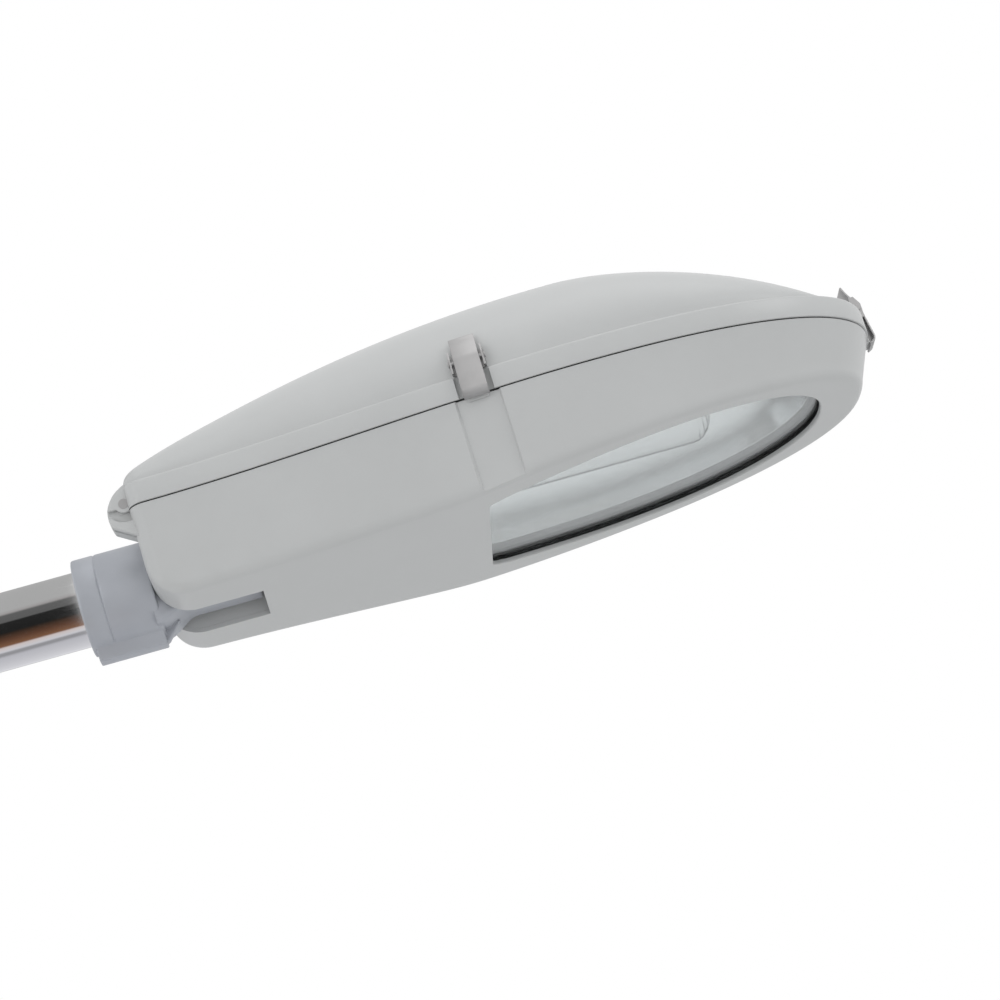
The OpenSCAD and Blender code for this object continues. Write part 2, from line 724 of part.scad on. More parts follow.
module cable_grommet() {
    color(black_rubber) head() translate([0, 0, cable_up]) turn_x() polygon([
        [cable_bore_r, -stop_t + 1],
        [cable_hole_d / 2 - 0.1, -stop_t + 1],
        [cable_hole_d / 2 - 0.1, body_wall],
        [cable_hole_d / 2 + 3, body_wall],
        [cable_hole_d / 2 + 3, body_wall + 2],
        [cable_bore_r + 1, body_wall + 2],
        [cable_bore_r, body_wall + 1]
    ]);
}

module rim_seal() {
    color(black_rubber) head() translate([0, 0, -seam]) linear_extrude(seam - 0.3) difference() {
        polygon(plan_outline(rim_setback + 2.3));
        polygon(plan_outline(rim_setback + body_flange - 0.6));
    }
}

// Lamp, lampholder and its bracket, all on one axis

holder_len = 62;
holder_to = lens_at - 14;
holder_from = holder_to - holder_len;
cap_from = holder_from + 24;
glass_from = holder_to + 8;
lamp_r = lamp_d / 2;
cap_r = cap_d / 2;

module on_lamp() head() translate([0, 0, lamp_up]) children();

module bulb_shape(r, neck, from, to) {
    dome_pts = [for (a = [0:15:90]) [a == 90 ? 0 : r * cos(a), to - r * 0.8 + r * 0.8 * sin(a)]];
    polygon(concat([[0, from], [neck, from], [neck, glass_from + 4], [r, glass_from + 22]], dome_pts));
}

module lamp_bulb() {
    end = glass_from + lamp_len;
    color([0.85, 0.88, 0.88, 0.35]) on_lamp() turn_x() difference() {
        bulb_shape(lamp_r, cap_r - 3, holder_to - 4, end);
        bulb_shape(lamp_r - 1.3, cap_r - 4.3, holder_to - 5, end - 1.3);
    }
}

module lamp_stem() {
    color([0.85, 0.88, 0.88, 0.35]) on_lamp() turn_x() polygon([
        [0, holder_to - 4],
        [cap_r - 4.6, holder_to - 4],
        [cap_r - 4.6, holder_to - 2],
        [5, holder_to + 8],
        [5, glass_from + 26],
        [0, glass_from + 26]
    ]);
}

arc_from = glass_from + 52;
arc_len = 86;
frame_off = 12;

module lamp_frame() {
    stem_end = glass_from + 26;
    color(steel) on_lamp() {
        translate([0, 0, frame_off]) bar_x(stem_end - 6, arc_from + arc_len + 12, 1.2);
        box([stem_end - 6, -1, 5], [stem_end - 3, 1, frame_off]);
        box([arc_from + arc_len + 9, -1, -1], [arc_from + arc_len + 12, 1, frame_off]);
        bar_x(arc_from + arc_len - 0.1, arc_from + arc_len + 10, 1);
        bar_x(stem_end, arc_from, 1);
    }
}

module arc_tube() {
    color([0.93, 0.92, 0.88]) on_lamp() bar_x(arc_from, arc_from + arc_len - 0.1, 4.5);
}

module lamp_cap() {
    thread = [for (k = [0:5]) each [[cap_r - 1.2, cap_from + 4 + k * 4.4], [cap_r, cap_from + 6.2 + k * 4.4]]];
    color([0.83, 0.8, 0.7]) on_lamp() turn_x() polygon(concat(
        [[0, cap_from], [cap_r * 0.45, cap_from], [cap_r - 3, cap_from + 3]],
        thread,
        [[cap_r - 1.2, holder_to - 4.1], [0, holder_to - 4.1]]));
}

module lampholder() {
    r = holder_d / 2;
    color(porcelain) on_lamp() difference() {
        turn_x() polygon([
            [0, holder_from],
            [r - 5, holder_from],
            [r - 4, holder_from + 10],
            [r, holder_from + 14],
            [r, holder_to - 3],
            [r - 2, holder_to],
            [cap_r + 1, holder_to],
            [cap_r + 0.6, cap_from],
            [0, cap_from]
        ]);
        for (y = [-14, 14]) translate([0, y, 0]) bar_x(holder_from - 1, holder_from + 12, 2);
    }
}

module lampholder_bracket() {
    low = foot_z;
    t = 2;
    color(zinc) head() difference() {
        union() {
            box([holder_from - t, -24, low], [holder_from, 24, lamp_up + 18]);
            box([holder_from - t, -24, low], [foot_u + 10, 24, low + t]);
        }
        for (y = [-14, 14]) translate([0, y, lamp_up]) bar_x(holder_from - t - 1, holder_from + 1, 2.2);
        for (y = [-foot_y, foot_y]) translate([foot_u, y, low - 1]) cylinder(r = tray_screw_d / 2 + slip, h = t + 2);
    }
}

module small_screw() {
    cylinder(r = tray_screw_d * 0.9, h = 2.4);
    translate([0, 0, -7]) cylinder(r = tray_screw_d / 2 - 0.05, h = 7.5);
}

module holder_screws() {
    color(zinc) head() {
        for (y = [-14, 14]) translate([holder_from - 2, y, lamp_up]) rotate([0, -90, 0]) small_screw();
        for (y = [-foot_y, foot_y]) translate([foot_u, y, foot_z + 2]) small_screw();
    }
}

// Gear tray and what it carries

tray_top = tray_up + tray_t;
tray_rear_w = 78;
tray_front_w = 90;
ballast_at = [66, -68];
capacitor_at = [62, 24];
ignitor_at = [66, 61];
block_at = [37, -40];
clamp_at = [38, 20];

module gear_tray() {
    color(zinc) head() difference() {
        translate([0, 0, tray_up]) linear_extrude(tray_t) polygon([
            [tray_from, -tray_rear_w], [tray_to, -tray_front_w], [tray_to, tray_front_w], [tray_from, tray_rear_w]
        ]);
        both_sides() for (p = tray_posts)
            translate([p[0], p[1], tray_up - 1]) cylinder(r = tray_screw_d / 2 + slip, h = tray_t + 2);
        for (y = [3, 27]) translate([clamp_at[0] + 5, clamp_at[1] + y, tray_up - 1]) cylinder(d = 4, h = tray_t + 2);
    }
}

module tray_screws() {
    color(zinc) head() both_sides() for (p = tray_posts) translate([p[0], p[1], tray_top]) small_screw();
}

winding_over = 20;
leg_h = ballast_h * 0.3;

module ballast_core() {
    w = ballast_w;
    h = ballast_h;
    color([0.3, 0.3, 0.31]) head() translate([ballast_at[0] + winding_over, ballast_at[1], tray_top]) difference() {
        union() {
            cube([ballast_len, w, h]);
            translate([-8, 6, 0]) cube([ballast_len + 16, w - 12, 2]);
        }
        for (z = [h * 0.15, h * 0.5 + leg_h / 2])
            translate([-1, 9, z]) cube([ballast_len + 2, w - 18, h * 0.35 - leg_h / 2]);
    }
}

module ballast_winding() {
    w = ballast_w - 18.4;
    h = ballast_h;
    color([0.62, 0.3, 0.12]) head() translate([ballast_at[0], ballast_at[1] + 9.2, tray_top]) difference() {
        translate([0, 0, h * 0.15 + 0.2]) cube([ballast_len + 2 * winding_over, w, h * 0.7 - 0.4]);
        translate([winding_over - 0.2, -1, h / 2 - leg_h / 2 - 0.2]) cube([ballast_len + 0.4, w + 2, leg_h + 0.4]);
    }
}

module can_shape(d, length) turn_x() polygon([
    [0, 0], [d / 2 - 1.5, 0], [d / 2, 1.5], [d / 2, length - 6], [d / 2 - 1.5, length - 4],
    [d / 2 - 3, length - 4], [d / 2 - 3, length], [0, length]
]);

module can_clip(d, width) translate([0, 0, 0]) {
    difference() {
        union() {
            bar_x(0, width, d / 2 + 1.4);
            box([0, -d / 2 - 7, -d / 2], [width, d / 2 + 7, -d / 2 + 1.4]);
        }
        bar_x(-1, width + 1, d / 2 + 0.1);
        box([-1, -d, -d], [width + 1, d, -d / 2]);
    }
}

module capacitor() {
    color([0.85, 0.86, 0.87]) head()
        translate([capacitor_at[0], capacitor_at[1], tray_top + capacitor_d / 2]) can_shape(capacitor_d, capacitor_len);
}

module capacitor_clip() {
    color(zinc) head() translate([capacitor_at[0] + (capacitor_len - 16) / 2, capacitor_at[1], tray_top + capacitor_d / 2])
        can_clip(capacitor_d, 14);
}

module ignitor() {
    color([0.9, 0.9, 0.88]) head()
        translate([ignitor_at[0], ignitor_at[1], tray_top + ignitor_d / 2]) can_shape(ignitor_d, ignitor_len);
}

module ignitor_clip() {
    color(zinc) head() translate([ignitor_at[0] + ignitor_len - 20, ignitor_at[1], tray_top + ignitor_d / 2])
        can_clip(ignitor_d, 10);
}

block_ways = 3;
way_w = 15;
block_d = 22;

module terminal_block() {
    color([0.92, 0.9, 0.84]) head() translate([block_at[0], block_at[1], tray_top]) difference() {
        union() {
            cube([block_d, way_w * block_ways, 12]);
            for (k = [0:block_ways - 1]) translate([4, k * way_w + 1.5, 11]) cube([block_d - 8, way_w - 3, 8]);
        }
        for (k = [0:block_ways - 1]) {
            translate([block_d / 2, (k + 0.5) * way_w, 10]) cylinder(d = 6, h = 10);
            translate([-1, (k + 0.5) * way_w, 6]) rotate([0, 90, 0]) cylinder(d = 5, h = block_d + 2);
        }
    }
}

module terminal_screws() {
    color(zinc) head() for (k = [0:block_ways - 1])
        translate([block_at[0] + block_d / 2, block_at[1] + (k + 0.5) * way_w, tray_top + 10]) difference() {
            cylinder(d = 5.8, h = 6);
            translate([-4, -0.5, 4.8]) cube([8, 1, 2]);
        }
}

module cable_clamp() {
    color([0.92, 0.9, 0.84]) head() translate([clamp_at[0], clamp_at[1], tray_top]) difference() {
        cube([10, 30, 12]);
        translate([-1, 15, 0]) rotate([0, 90, 0]) cylinder(d = 14, h = 12);
        for (y = [3, 27]) translate([5, y, -1]) cylinder(d = 4.2, h = 14);
    }
}

module cable_clamp_screws() {
    color(zinc) head() for (y = [3, 27]) translate([clamp_at[0] + 5, clamp_at[1] + y, tray_top + 12]) {
        cylinder(d = 7, h = 2.4);
        translate([0, 0, -14]) cylinder(r = 1.95, h = 14.5);
    }
}

// Hinge

module hinge_pins() {
    color(steel) head() both_sides() translate([-pin_back, 0, pin_up])
        bar_y(lug_out - lug_w - 1, ear_out, pin_d / 2);
}

// Side view of a hinge ear of the cover, measured from the pin
module ear_side() {
    circle(r = hub_r);
    polygon([
        [0, 0],
        [-ear_r + 0.5, -2.9],
        [-ear_r + 2, 0.8],
        [-ear_r + 4.2, 4.6],
        [-ear_r + 7.2, 8.4],
        [-ear_r + 10.6, 11.2],
        [0.7, ear_r - 0.3],
        [4.5, ear_r + 1.6],
        [pin_back + 6.4, band_h],
        [pin_back + 8, band_h],
        [pin_back + 8, -pin_up + 0.3],
        [-0.2, -pin_up + 0.3]
    ]);
}

module hinge_ears() {
    both_sides() translate([-pin_back, ear_out, pin_up]) rotate([90, 0, 0]) linear_extrude(ear_t) ear_side();
}

// Clears the body's hinge lugs out of the cover's rear wall
module lug_windows() {
    half = lug_w / 2 + 0.5;
    both_sides() translate([-pin_back, lug_out - lug_w / 2, pin_up]) {
        bar_y(-half, half, lug_hub_r + 0.8);
        box([0, -half, -pin_up - 1], [lug_hub_r + 0.8, half, 0]);
    }
}

// Cover

notch_half = strap_w / 2 + 4;
notch_depth = 4.2;
nose_pad_w = 2 * notch_half + 2;

module cover() {
    color(cast_grey) head() difference() {
        union() {
            difference() {
                shell([for (i = [0:last_station]) cover_outer(i)], [for (i = [0:last_station]) cover_inner(i)]);
                lug_windows();
            }
            hinge_ears();
            at_nose_latch() box([-12, -nose_pad_w / 2, band_h - 3], [-bracket_in, nose_pad_w / 2, band_h + 16]);
        }
        translate([-pin_back, 0, pin_up]) pin_hole();
        at_latches() box([-notch_depth, -notch_half, -1], [6, notch_half, band_h + 1.2]);
    }
}

// Latches: a bent spring strap that turns on a pin in a small bracket above the band

strap_path = [[-7.6, 48.5], [-5.2, 42.5], [2.2, 29.5], [6.3, 1.6], [5.2, -1.4], [1, -3.7]];
latch_pin_n = -0.1;
latch_pin_z = 27;
bracket_in = 4.6;
bracket_t = 1.4;
cheek_t = 1.4;
bracket_half = strap_w / 2 + 3.4;

function unit(v) = v / norm(v);
function side_of(a, b) = let (d = unit(b - a)) [-d[1], d[0]];

// Outline of a sheet of thickness t bent along a path
function sheet_outline(path, t) = let (
        n = len(path),
        normals = [for (i = [0:n - 1]) let (
                p = i > 0 ? side_of(path[i - 1], path[i]) : side_of(path[0], path[1]),
                q = i < n - 1 ? side_of(path[i], path[i + 1]) : p,
                m = unit(p + q)
            ) m / (m * p)]
    ) concat([for (i = [0:n - 1]) path[i] + normals[i] * t / 2], [for (i = [n - 1:-1:0]) path[i] - normals[i] * t / 2]);

// Drawn with X out of the rim and Y up, then given its width along the rim
module across_rim(width) translate([0, width / 2, 0]) rotate([90, 0, 0]) linear_extrude(width) children();

module latch_strap() {
    pin = [latch_pin_n, latch_pin_z];
    color(steel) difference() {
        union() {
            across_rim(strap_w) polygon(sheet_outline(strap_path, strap_t));
            for (side = [-1, 1]) translate([0, side * (strap_w / 2 - cheek_t / 2), 0]) across_rim(cheek_t)
                polygon([pin + [-2.5, -2.6], pin + [0.8, -5.6], [3.2, 22], strap_path[2], [0.5, 32.4], pin + [-2.4, 3]]);
        }
        translate([pin[0], 0, pin[1]]) bar_y(-strap_w, strap_w, latch_pin_d / 2 + pin_play);
    }
}

module latch_bracket() {
    foot = band_h + 1;
    half = bracket_half;
    color(steel) difference() {
        union() {
            box([-bracket_in, -half, foot + 0.3], [-bracket_in + bracket_t, half, foot + 15]);
            for (y = [-half, half - bracket_t]) translate([0, y + bracket_t / 2, 0]) across_rim(bracket_t) polygon([
                [-bracket_in, foot + 0.3],
                [latch_pin_n + 3.2, foot + 0.3],
                [latch_pin_n + 3.2, foot + 12],
                [latch_pin_n - 0.8, foot + 19],
                [-bracket_in, foot + 19]
            ]);
        }
        translate([latch_pin_n, 0, latch_pin_z]) bar_y(-2 * half, 2 * half, latch_pin_d / 2 + pin_play);
    }
}

module latch_pin() {
    color(zinc) translate([latch_pin_n, 0, latch_pin_z]) {
        bar_y(-bracket_half - 1, bracket_half + 1, latch_pin_d / 2);
        for (y = [-bracket_half - 1.2, bracket_half + 0.2]) bar_y(y, y + 1, latch_pin_d / 2 + 0.9);
    }
}

arm_tube();
spigot_bracket();
clamp_screws();
bracket_bolts();
bolt_washers();
lower_body();
cable_grommet();
rim_seal();
lens_glass();
lens_seal();
lens_clips();
lens_clip_screws();
reflector();
reflector_screws();
lamp_bulb();
lamp_stem();
lamp_frame();
arc_tube();
lamp_cap();
lampholder();
lampholder_bracket();
holder_screws();
gear_tray();
tray_screws();
ballast_core();
ballast_winding();
capacitor();
capacitor_clip();
ignitor();
ignitor_clip();
terminal_block();
terminal_screws();
cable_clamp();
cable_clamp_screws();
hinge_pins();
cover();
head() at_right_latch() latch_strap();  // latch_strap_right
head() at_left_latch() latch_strap();  // latch_strap_left
head() at_nose_latch() latch_strap();  // latch_strap_nose
head() at_right_latch() latch_bracket();  // latch_bracket_right
head() at_left_latch() latch_bracket();  // latch_bracket_left
head() at_nose_latch() latch_bracket();  // latch_bracket_nose
head() at_right_latch() latch_pin();  // latch_pin_right
head() at_left_latch() latch_pin();  // latch_pin_left
head() at_nose_latch() latch_pin();  // latch_pin_nose
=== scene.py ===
import json
import math

import bmesh
import bpy
from mathutils import Matrix, Vector
from mathutils.bvhtree import BVHTree
from mathutils.interpolate import poly_3d_calc


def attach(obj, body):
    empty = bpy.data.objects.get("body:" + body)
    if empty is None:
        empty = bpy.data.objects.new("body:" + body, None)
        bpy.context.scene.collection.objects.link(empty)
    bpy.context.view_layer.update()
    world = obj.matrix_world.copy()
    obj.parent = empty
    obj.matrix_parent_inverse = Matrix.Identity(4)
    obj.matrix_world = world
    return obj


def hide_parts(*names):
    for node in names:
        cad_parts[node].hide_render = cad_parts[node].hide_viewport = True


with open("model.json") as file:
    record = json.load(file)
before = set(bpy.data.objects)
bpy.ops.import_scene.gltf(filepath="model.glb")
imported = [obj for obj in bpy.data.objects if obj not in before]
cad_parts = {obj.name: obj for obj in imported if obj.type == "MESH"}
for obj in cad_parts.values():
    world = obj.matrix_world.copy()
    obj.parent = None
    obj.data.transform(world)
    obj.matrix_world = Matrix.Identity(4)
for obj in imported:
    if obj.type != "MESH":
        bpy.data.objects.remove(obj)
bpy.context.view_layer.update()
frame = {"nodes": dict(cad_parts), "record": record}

MM = 0.001

# Sizes that the CAD model has too, in millimetres. Lengths along the lantern start at its rear wall.
REAR_X, RIM_Z = 192.0, 39.5
HEAD_LEN, WIDEST = 596.0, 368.0
REAR_W, MAX_W, NOSE_POWER, CORNER_R = 98.5, 138.5, 2.35, 12.0
DEPTH, LEAN, WALL, REAR_ROUND, EDGE_ROUND = 74.0, 17.0, 3.6, 30.0, 8.0
SEAM, SETBACK, FLANGE, LENS_TILT = 2.0, 1.5, 6.0, math.radians(5.5)
BAND_H, BAND_T, SHOULDER = 17.0, 8.0, 5.0
DOME_H, DOME_REAR, COVER_WALL, DOME_POWER = 86.5, 27.0, 3.5, 2.1
DOME_RUN, DOME_LEDGE = 60.0, 36.0
LENS_AT, LENS_LEN, LENS_MID, LENS_LEAD = 264.0, 280.0, 134.96, 21.0
LENS_REAR_W, LENS_W, LENS_CORNER, LENS_POWER = 78.02, 100.0, 7.0, 2.2
ARM_TOP, CHANNEL_HALF, CHANNEL_END = -42.0, 31.0, 81.0
PIN_BACK, PIN_UP, EAR_OUT, EAR_T, EAR_R = 3.0, 5.0, 87.0, 4.3, 14.0
LUG_OUT, LUG_W, LUG_R = 82.4, 17.0, 8.0
LATCH_AT, STRAP_W, STRAP_T = 275.0, 20.0, 1.5
COLLAR_R, COLLAR_START, COLLAR_END = 39.0, 134.0, 192.0
SHARP = math.radians(35)


# Forms

def ease(t):
    t = min(1.0, max(0.0, t))
    return t * t * (3 - 2 * t)


def corner(dist, r):
    return 0.0 if dist >= r else r - math.sqrt(r * r - (r - dist) ** 2)


def rear_w(u):
    return REAR_W + (MAX_W - REAR_W) * ease(u / WIDEST)


def stations():
    """Places along the head: dense round the rear corners, even along the sides, angles at the nose."""
    corner_steps, corner_turn, near_steps, near_step, side_steps = 12, 7.5, 11, 2.2, 52
    rear = [CORNER_R * (1 - math.cos(math.radians(k * corner_turn))) for k in range(corner_steps)]
    rear += [CORNER_R + k * near_step for k in range(near_steps)]
    at = rear[-1]
    rear += [at + (WIDEST - at) * k / side_steps for k in range(1, side_steps)]
    nose = [k * 2.0 for k in range(42)] + [84, 85, 86, 87, 88, 88.6, 89.1, 89.5, 89.8]
    return [("rear", d) for d in rear] + [("nose", math.radians(a)) for a in nose]


def plan(station, inset, back=0.0):
    """The plan curve at a station, as distance from the rear wall and half width."""
    kind, v = station
    if kind == "rear":
        u = back + v * (WIDEST - back) / WIDEST
        return u, rear_w(u) - inset - corner(u - back, max(2.0, CORNER_R - back))
    u = WIDEST + (HEAD_LEN - inset - WIDEST) * math.sin(v) ** (2 / NOSE_POWER)
    return u, (MAX_W - inset) * math.cos(v) ** (2 / NOSE_POWER)


def under_z(u, off=0.0):
    """Height of the underside: round at the rear, flat, then rising with the lens."""
    blend = 4
    r, flat, dist = REAR_ROUND - off, -DEPTH + off, u - off
    low = -DEPTH + REAR_ROUND - math.sqrt(max(0.0, r * r - (r - dist) ** 2)) if dist < r else flat
    slope = flat + (u - LENS_AT + LENS_LEAD) * math.tan(LENS_TILT)
    return (low + slope + math.sqrt((low - slope) ** 2 + blend)) / 2


def dome(u):
    """Height of the dome's ridge above the band."""
    front = WIDEST - SHOULDER
    if u < front:
        rise_power, start, swell_power, swell_root = 2.27, 0.2, 2.5, 0.2
        rise = DOME_REAR + (DOME_H - DOME_REAR) * (1 - (1 - u / front) ** rise_power)
        swell = (1 - (1 - min(1.0, u / DOME_RUN)) ** swell_power) ** swell_root
        return rise * (start + (1 - start) * swell)
    fall_power, nose_power = 1.62, 0.75
    t = (u - front) / (HEAD_LEN - DOME_LEDGE - front)
    return DOME_H * (1 - t ** fall_power) ** nose_power if t < 1 else 0.0


def mixed(a, b, t):
    return tuple(p + (q - p) * t for p, q in zip(a, b))


def bend(a, c, b, t):
    return tuple((1 - t) ** 2 * p + 2 * t * (1 - t) * q + t * t * r for p, q, r in zip(a, c, b))


def both(half, side=1):
    """A half section from the rim to the middle, and its mirror image back to the other rim."""
    far = [(p[0], -side * p[1], p[2]) for p in reversed(half) if p[1] > 0.01]
    return [(p[0], side * p[1], p[2]) for p in half] + far


def wall_section(station, flange, foot, off, back, flange_drop):
    """Section of the lower body: leaning wall, rounded edge and underside."""
    wall_steps, edge_steps, floor_steps = 8, 10, 8
    rim = plan(station, flange, back)

    def low(inset, dz):
        u, w = plan(station, inset, off)
        return u, w, under_z(u, off) + dz

    a = low(foot - LEAN * EDGE_ROUND / DEPTH, EDGE_ROUND)
    c = low(foot, 0)
    b = low(foot + EDGE_ROUND, 0)
    top = (rim[0], rim[1], -SEAM - flange_drop)
    half = [mixed(top, a, k / wall_steps) for k in range(wall_steps)]
    if flange_drop:
        half = [(rim[0], rim[1], -SEAM)] + half
    half += [bend(a, c, b, k / edge_steps) for k in range(edge_steps + 1)]
    half += [(b[0], b[1] * (1 - k / floor_steps), b[2]) for k in range(1, floor_steps + 1)]
    return both(half)


def body_outer(s):
    return wall_section(s, SETBACK, LEAN, 0.0, 0.0, 0)


def body_inner(s):
    return wall_section(s, SETBACK + FLANGE, WALL + LEAN, WALL, WALL, 8)


def dome_points(s, inset, base, loss, back, steps):
    """Half a section of the dome, from the band to the ridge."""
    u, w = plan(s, inset, back)
    out = []
    for k in range(steps + 1):
        f = math.radians(90 * k / steps)
        y = 0.0 if k == steps else w * math.cos(f) ** (2 / DOME_POWER)
        out.append((u, y, base + max(0.5, dome(u) - loss) * math.sin(f) ** (2 / DOME_POWER)))
    return out


def cover_outer(s):
    """The lip over the seam, the upright band with its rounded edge, and the dome."""
    rim = [(2.6, 0), (2.4, -0.9), (0.7, -1.1), (0.2, -0.9), (0, -0.4), (0, BAND_H - 2.4),
           (0.2, BAND_H - 1.3), (0.8, BAND_H - 0.4), (1.7, BAND_H),
           (SHOULDER - 0.9, BAND_H + 0.1), (SHOULDER - 0.3, BAND_H + 0.4)]
    half = [(*plan(s, inset), z) for inset, z in rim]
    return both(half + dome_points(s, SHOULDER, BAND_H + 1, 0, 0, 34), -1)


def cover_inner(s):
    """The straight inside of the band, and the dome's inside."""
    u, w = plan(s, BAND_T, COVER_WALL)
    top = dome_points(s, BAND_T + 0.5, BAND_H + 0.5 - COVER_WALL, 0.5, COVER_WALL, 18)
    return both([(u, w, 0)] + top, -1)


def shell(outer, inner):
    """Joins a row of outer and inner sections into one closed shell, open at the rim."""
    m, a, b = len(outer), len(outer[0]), len(inner[0])
    n, base = m - 1, m * a
    faces = []
    for i in range(n):
        for j in range(a - 1):
            faces.append((i * a + j, (i + 1) * a + j, (i + 1) * a + j + 1, i * a + j + 1))
        for j in range(b - 1):
            p, q = base + i * b + j, base + (i + 1) * b + j
            faces.append((p, p + 1, q + 1, q))
        faces.append((i * a, base + i * b, base + (i + 1) * b, (i + 1) * a))
        faces.append((i * a + a - 1, (i + 1) * a + a - 1, base + (i + 1) * b + b - 1, base + i * b + b - 1))
    faces.append(tuple(range(a)))
    faces.append(tuple(base + j for j in range(b - 1, -1, -1)))
    faces.append((0, a - 1, base + b - 1, base))
    faces.append((n * a, base + n * b, base + n * b + b - 1, n * a + a - 1))
    for count, start, turn in ((a, n * a, 1), (b, base + n * b, -1)):
        for j in range(count // 2):
            q = count - 1 - j
            face = (j, q, q - 1, j + 1) if q - j > 2 else (j, q, j + 1)
            faces.append(tuple(start + v for v in face[::turn]))
    return [p for s in outer for p in s] + [p for s in inner for p in s], faces


def at_head(verts):
    return [(REAR_X + x, y, RIM_Z + z) for x, y, z in verts]


def lens_w(s):
    if s <= LENS_MID:
        return LENS_REAR_W + (LENS_W - LENS_REAR_W) * math.sin(math.radians(90 * max(0.0, s) / LENS_MID))
    t = (s - LENS_MID) / (LENS_LEN - LENS_MID)
    return LENS_W * max(0.0, 1 - t ** LENS_POWER) ** (1 / LENS_POWER)


def lens_outline(grow):
    """The lens's outline, grown outward: rounded rear corners, swelling sides and round nose."""
    corner_steps, side_steps, nose_steps = 8, 25, 40
    half = []
    for k in range(corner_steps + 1):
        a = math.radians(90 * k / corner_steps)
        r = max(1.5, LENS_CORNER + grow * 0.6)
        half.append((-grow + r * (1 - math.sin(a)), LENS_REAR_W + grow - r + r * math.cos(a)))
    half = half[::-1]
    start = half[-1][0]
    for k in range(1, side_steps + 1):
        s = start + k * (LENS_MID - start) / side_steps
        half.append((s, lens_w(s) + grow))
    for k in range(1, nose_steps + 1):
        a = math.radians(90 * k / nose_steps)
        x = LENS_MID + (LENS_LEN + grow - LENS_MID) * math.sin(a) ** (2 / LENS_POWER)
        y = 0.0 if k == nose_steps else (LENS_W + grow) * math.cos(a) ** (2 / LENS_POWER)
        half.append((x, y))
    return half + [(x, -y) for x, y in reversed(half[:-1])]


def on_lens(verts):
    """Places a form drawn over the lens, with Z into the lantern, on the tilted underside."""
    c, s = math.cos(LENS_TILT), math.sin(LENS_TILT)
    base_z = -DEPTH + LENS_LEAD * math.tan(LENS_TILT)
    return at_head([(LENS_AT + x * c - z * s, y, base_z + x * s + z * c) for x, y, z in verts])


def rings(levels, close=False):
    """Lofts closed outlines, each a list of points of one count, and caps or closes the ends."""
    n, m = len(levels[0]), len(levels)
    faces = []
    for i in range(m if close else m - 1):
        p, q = i * n, ((i + 1) % m) * n
        for j in range(n):
            k = (j + 1) % n
            faces.append((p + j, q + j, q + k, p + k))
    if not close:
        faces.append(tuple(range(n)))
        faces.append(tuple((m - 1) * n + j for j in range(n - 1, -1, -1)))
    return [p for level in levels for p in level], faces


def lens_loft(steps, close=False):
    return rings([[(x, y, z) for x, y in lens_outline(grow)] for grow, z in steps], close)


def box(a, b):
    v = [(x, y, z) for x in (a[0], b[0]) for y in (a[1], b[1]) for z in (a[2], b[2])]
    return v, [(0, 1, 3, 2), (4, 6, 7, 5), (0, 4, 5, 1), (2, 3, 7, 6), (0, 2, 6, 4), (1, 5, 7, 3)]


def prism_y(outline, y0, y1):
    """Extrudes an outline of (x, z) points along Y."""
    return rings([[(x, y0, z) for x, z in outline], [(x, y1, z) for x, z in outline]])


def disc_y(r, y0, y1, n=48):
    angles = [2 * math.pi * k / n for k in range(n)]
    return prism_y([(r * math.cos(a), r * math.sin(a)) for a in angles], y0, y1)


def arc(r, a0, a1, n=24):
    angles = [math.radians(a0 + (a1 - a0) * k / n) for k in range(n + 1)]
    return [(r * math.cos(a), r * math.sin(a)) for a in angles]


def joined(*parts):
    verts, faces = [], []
    for v, f in parts:
        base = len(verts)
        verts += v
        faces += [tuple(base + i for i in face) for face in f]
    return verts, faces


def moved(part, offset=(0, 0, 0), matrix=None):
    out = [Vector(p) for p in part[0]]
    if matrix is not None:
        out = [matrix @ p for p in out]
    return [tuple(p + Vector(offset)) for p in out], part[1]


def mirrored(part):
    return [(x, -y, z) for x, y, z in part[0]], [tuple(reversed(f)) for f in part[1]]


def pair(part):
    return joined(part, mirrored(part))


def at_latch(part, side):
    """Places a form drawn at a latch, X out of the rim and Y along it. Side is -1 or 1, or 0 at the nose."""
    if side == 0:
        return [(REAR_X + HEAD_LEN + x, y, RIM_Z + z) for x, y, z in part[0]], part[1]
    slope = math.atan(rear_w(LATCH_AT + 0.5) - rear_w(LATCH_AT - 0.5))
    c, s = math.cos(slope), math.sin(slope)
    w = rear_w(LATCH_AT)
    near = [(REAR_X + LATCH_AT - s * x + c * y, -w - c * x - s * y, RIM_Z + z) for x, y, z in part[0]]
    part = near, part[1]
    return part if side < 0 else mirrored(part)


def at_pin(part):
    """Places a form drawn round the hinge pins, X along the lantern and Z up."""
    return moved(part, (REAR_X - PIN_BACK, 0, RIM_Z + PIN_UP))


# Blender objects

def new_mesh(name, part):
    mesh = bpy.data.meshes.new(name)
    mesh.from_pydata([tuple(c * MM for c in p) for p in part[0]], [], part[1])
    mesh.validate()
    mesh.update()
    return mesh


def outward(mesh):
    """Turns every face outward."""
    bm = bmesh.new()
    bm.from_mesh(mesh)
    bmesh.ops.recalc_face_normals(bm, faces=bm.faces)
    bm.to_mesh(mesh)
    bm.free()


def new_object(name, part):
    mesh = new_mesh(name, part)
    outward(mesh)
    obj = bpy.data.objects.new(name, mesh)
    bpy.context.scene.collection.objects.link(obj)
    return obj


def smooth(mesh):
    mesh.shade_smooth()
    mesh.set_sharp_from_angle(angle=SHARP)


def apply_modifiers(obj):
    deps = bpy.context.evaluated_depsgraph_get()
    mesh = bpy.data.meshes.new_from_object(obj.evaluated_get(deps))
    obj.modifiers.clear()
    old = obj.data
    obj.data = mesh
    bpy.data.meshes.remove(old)


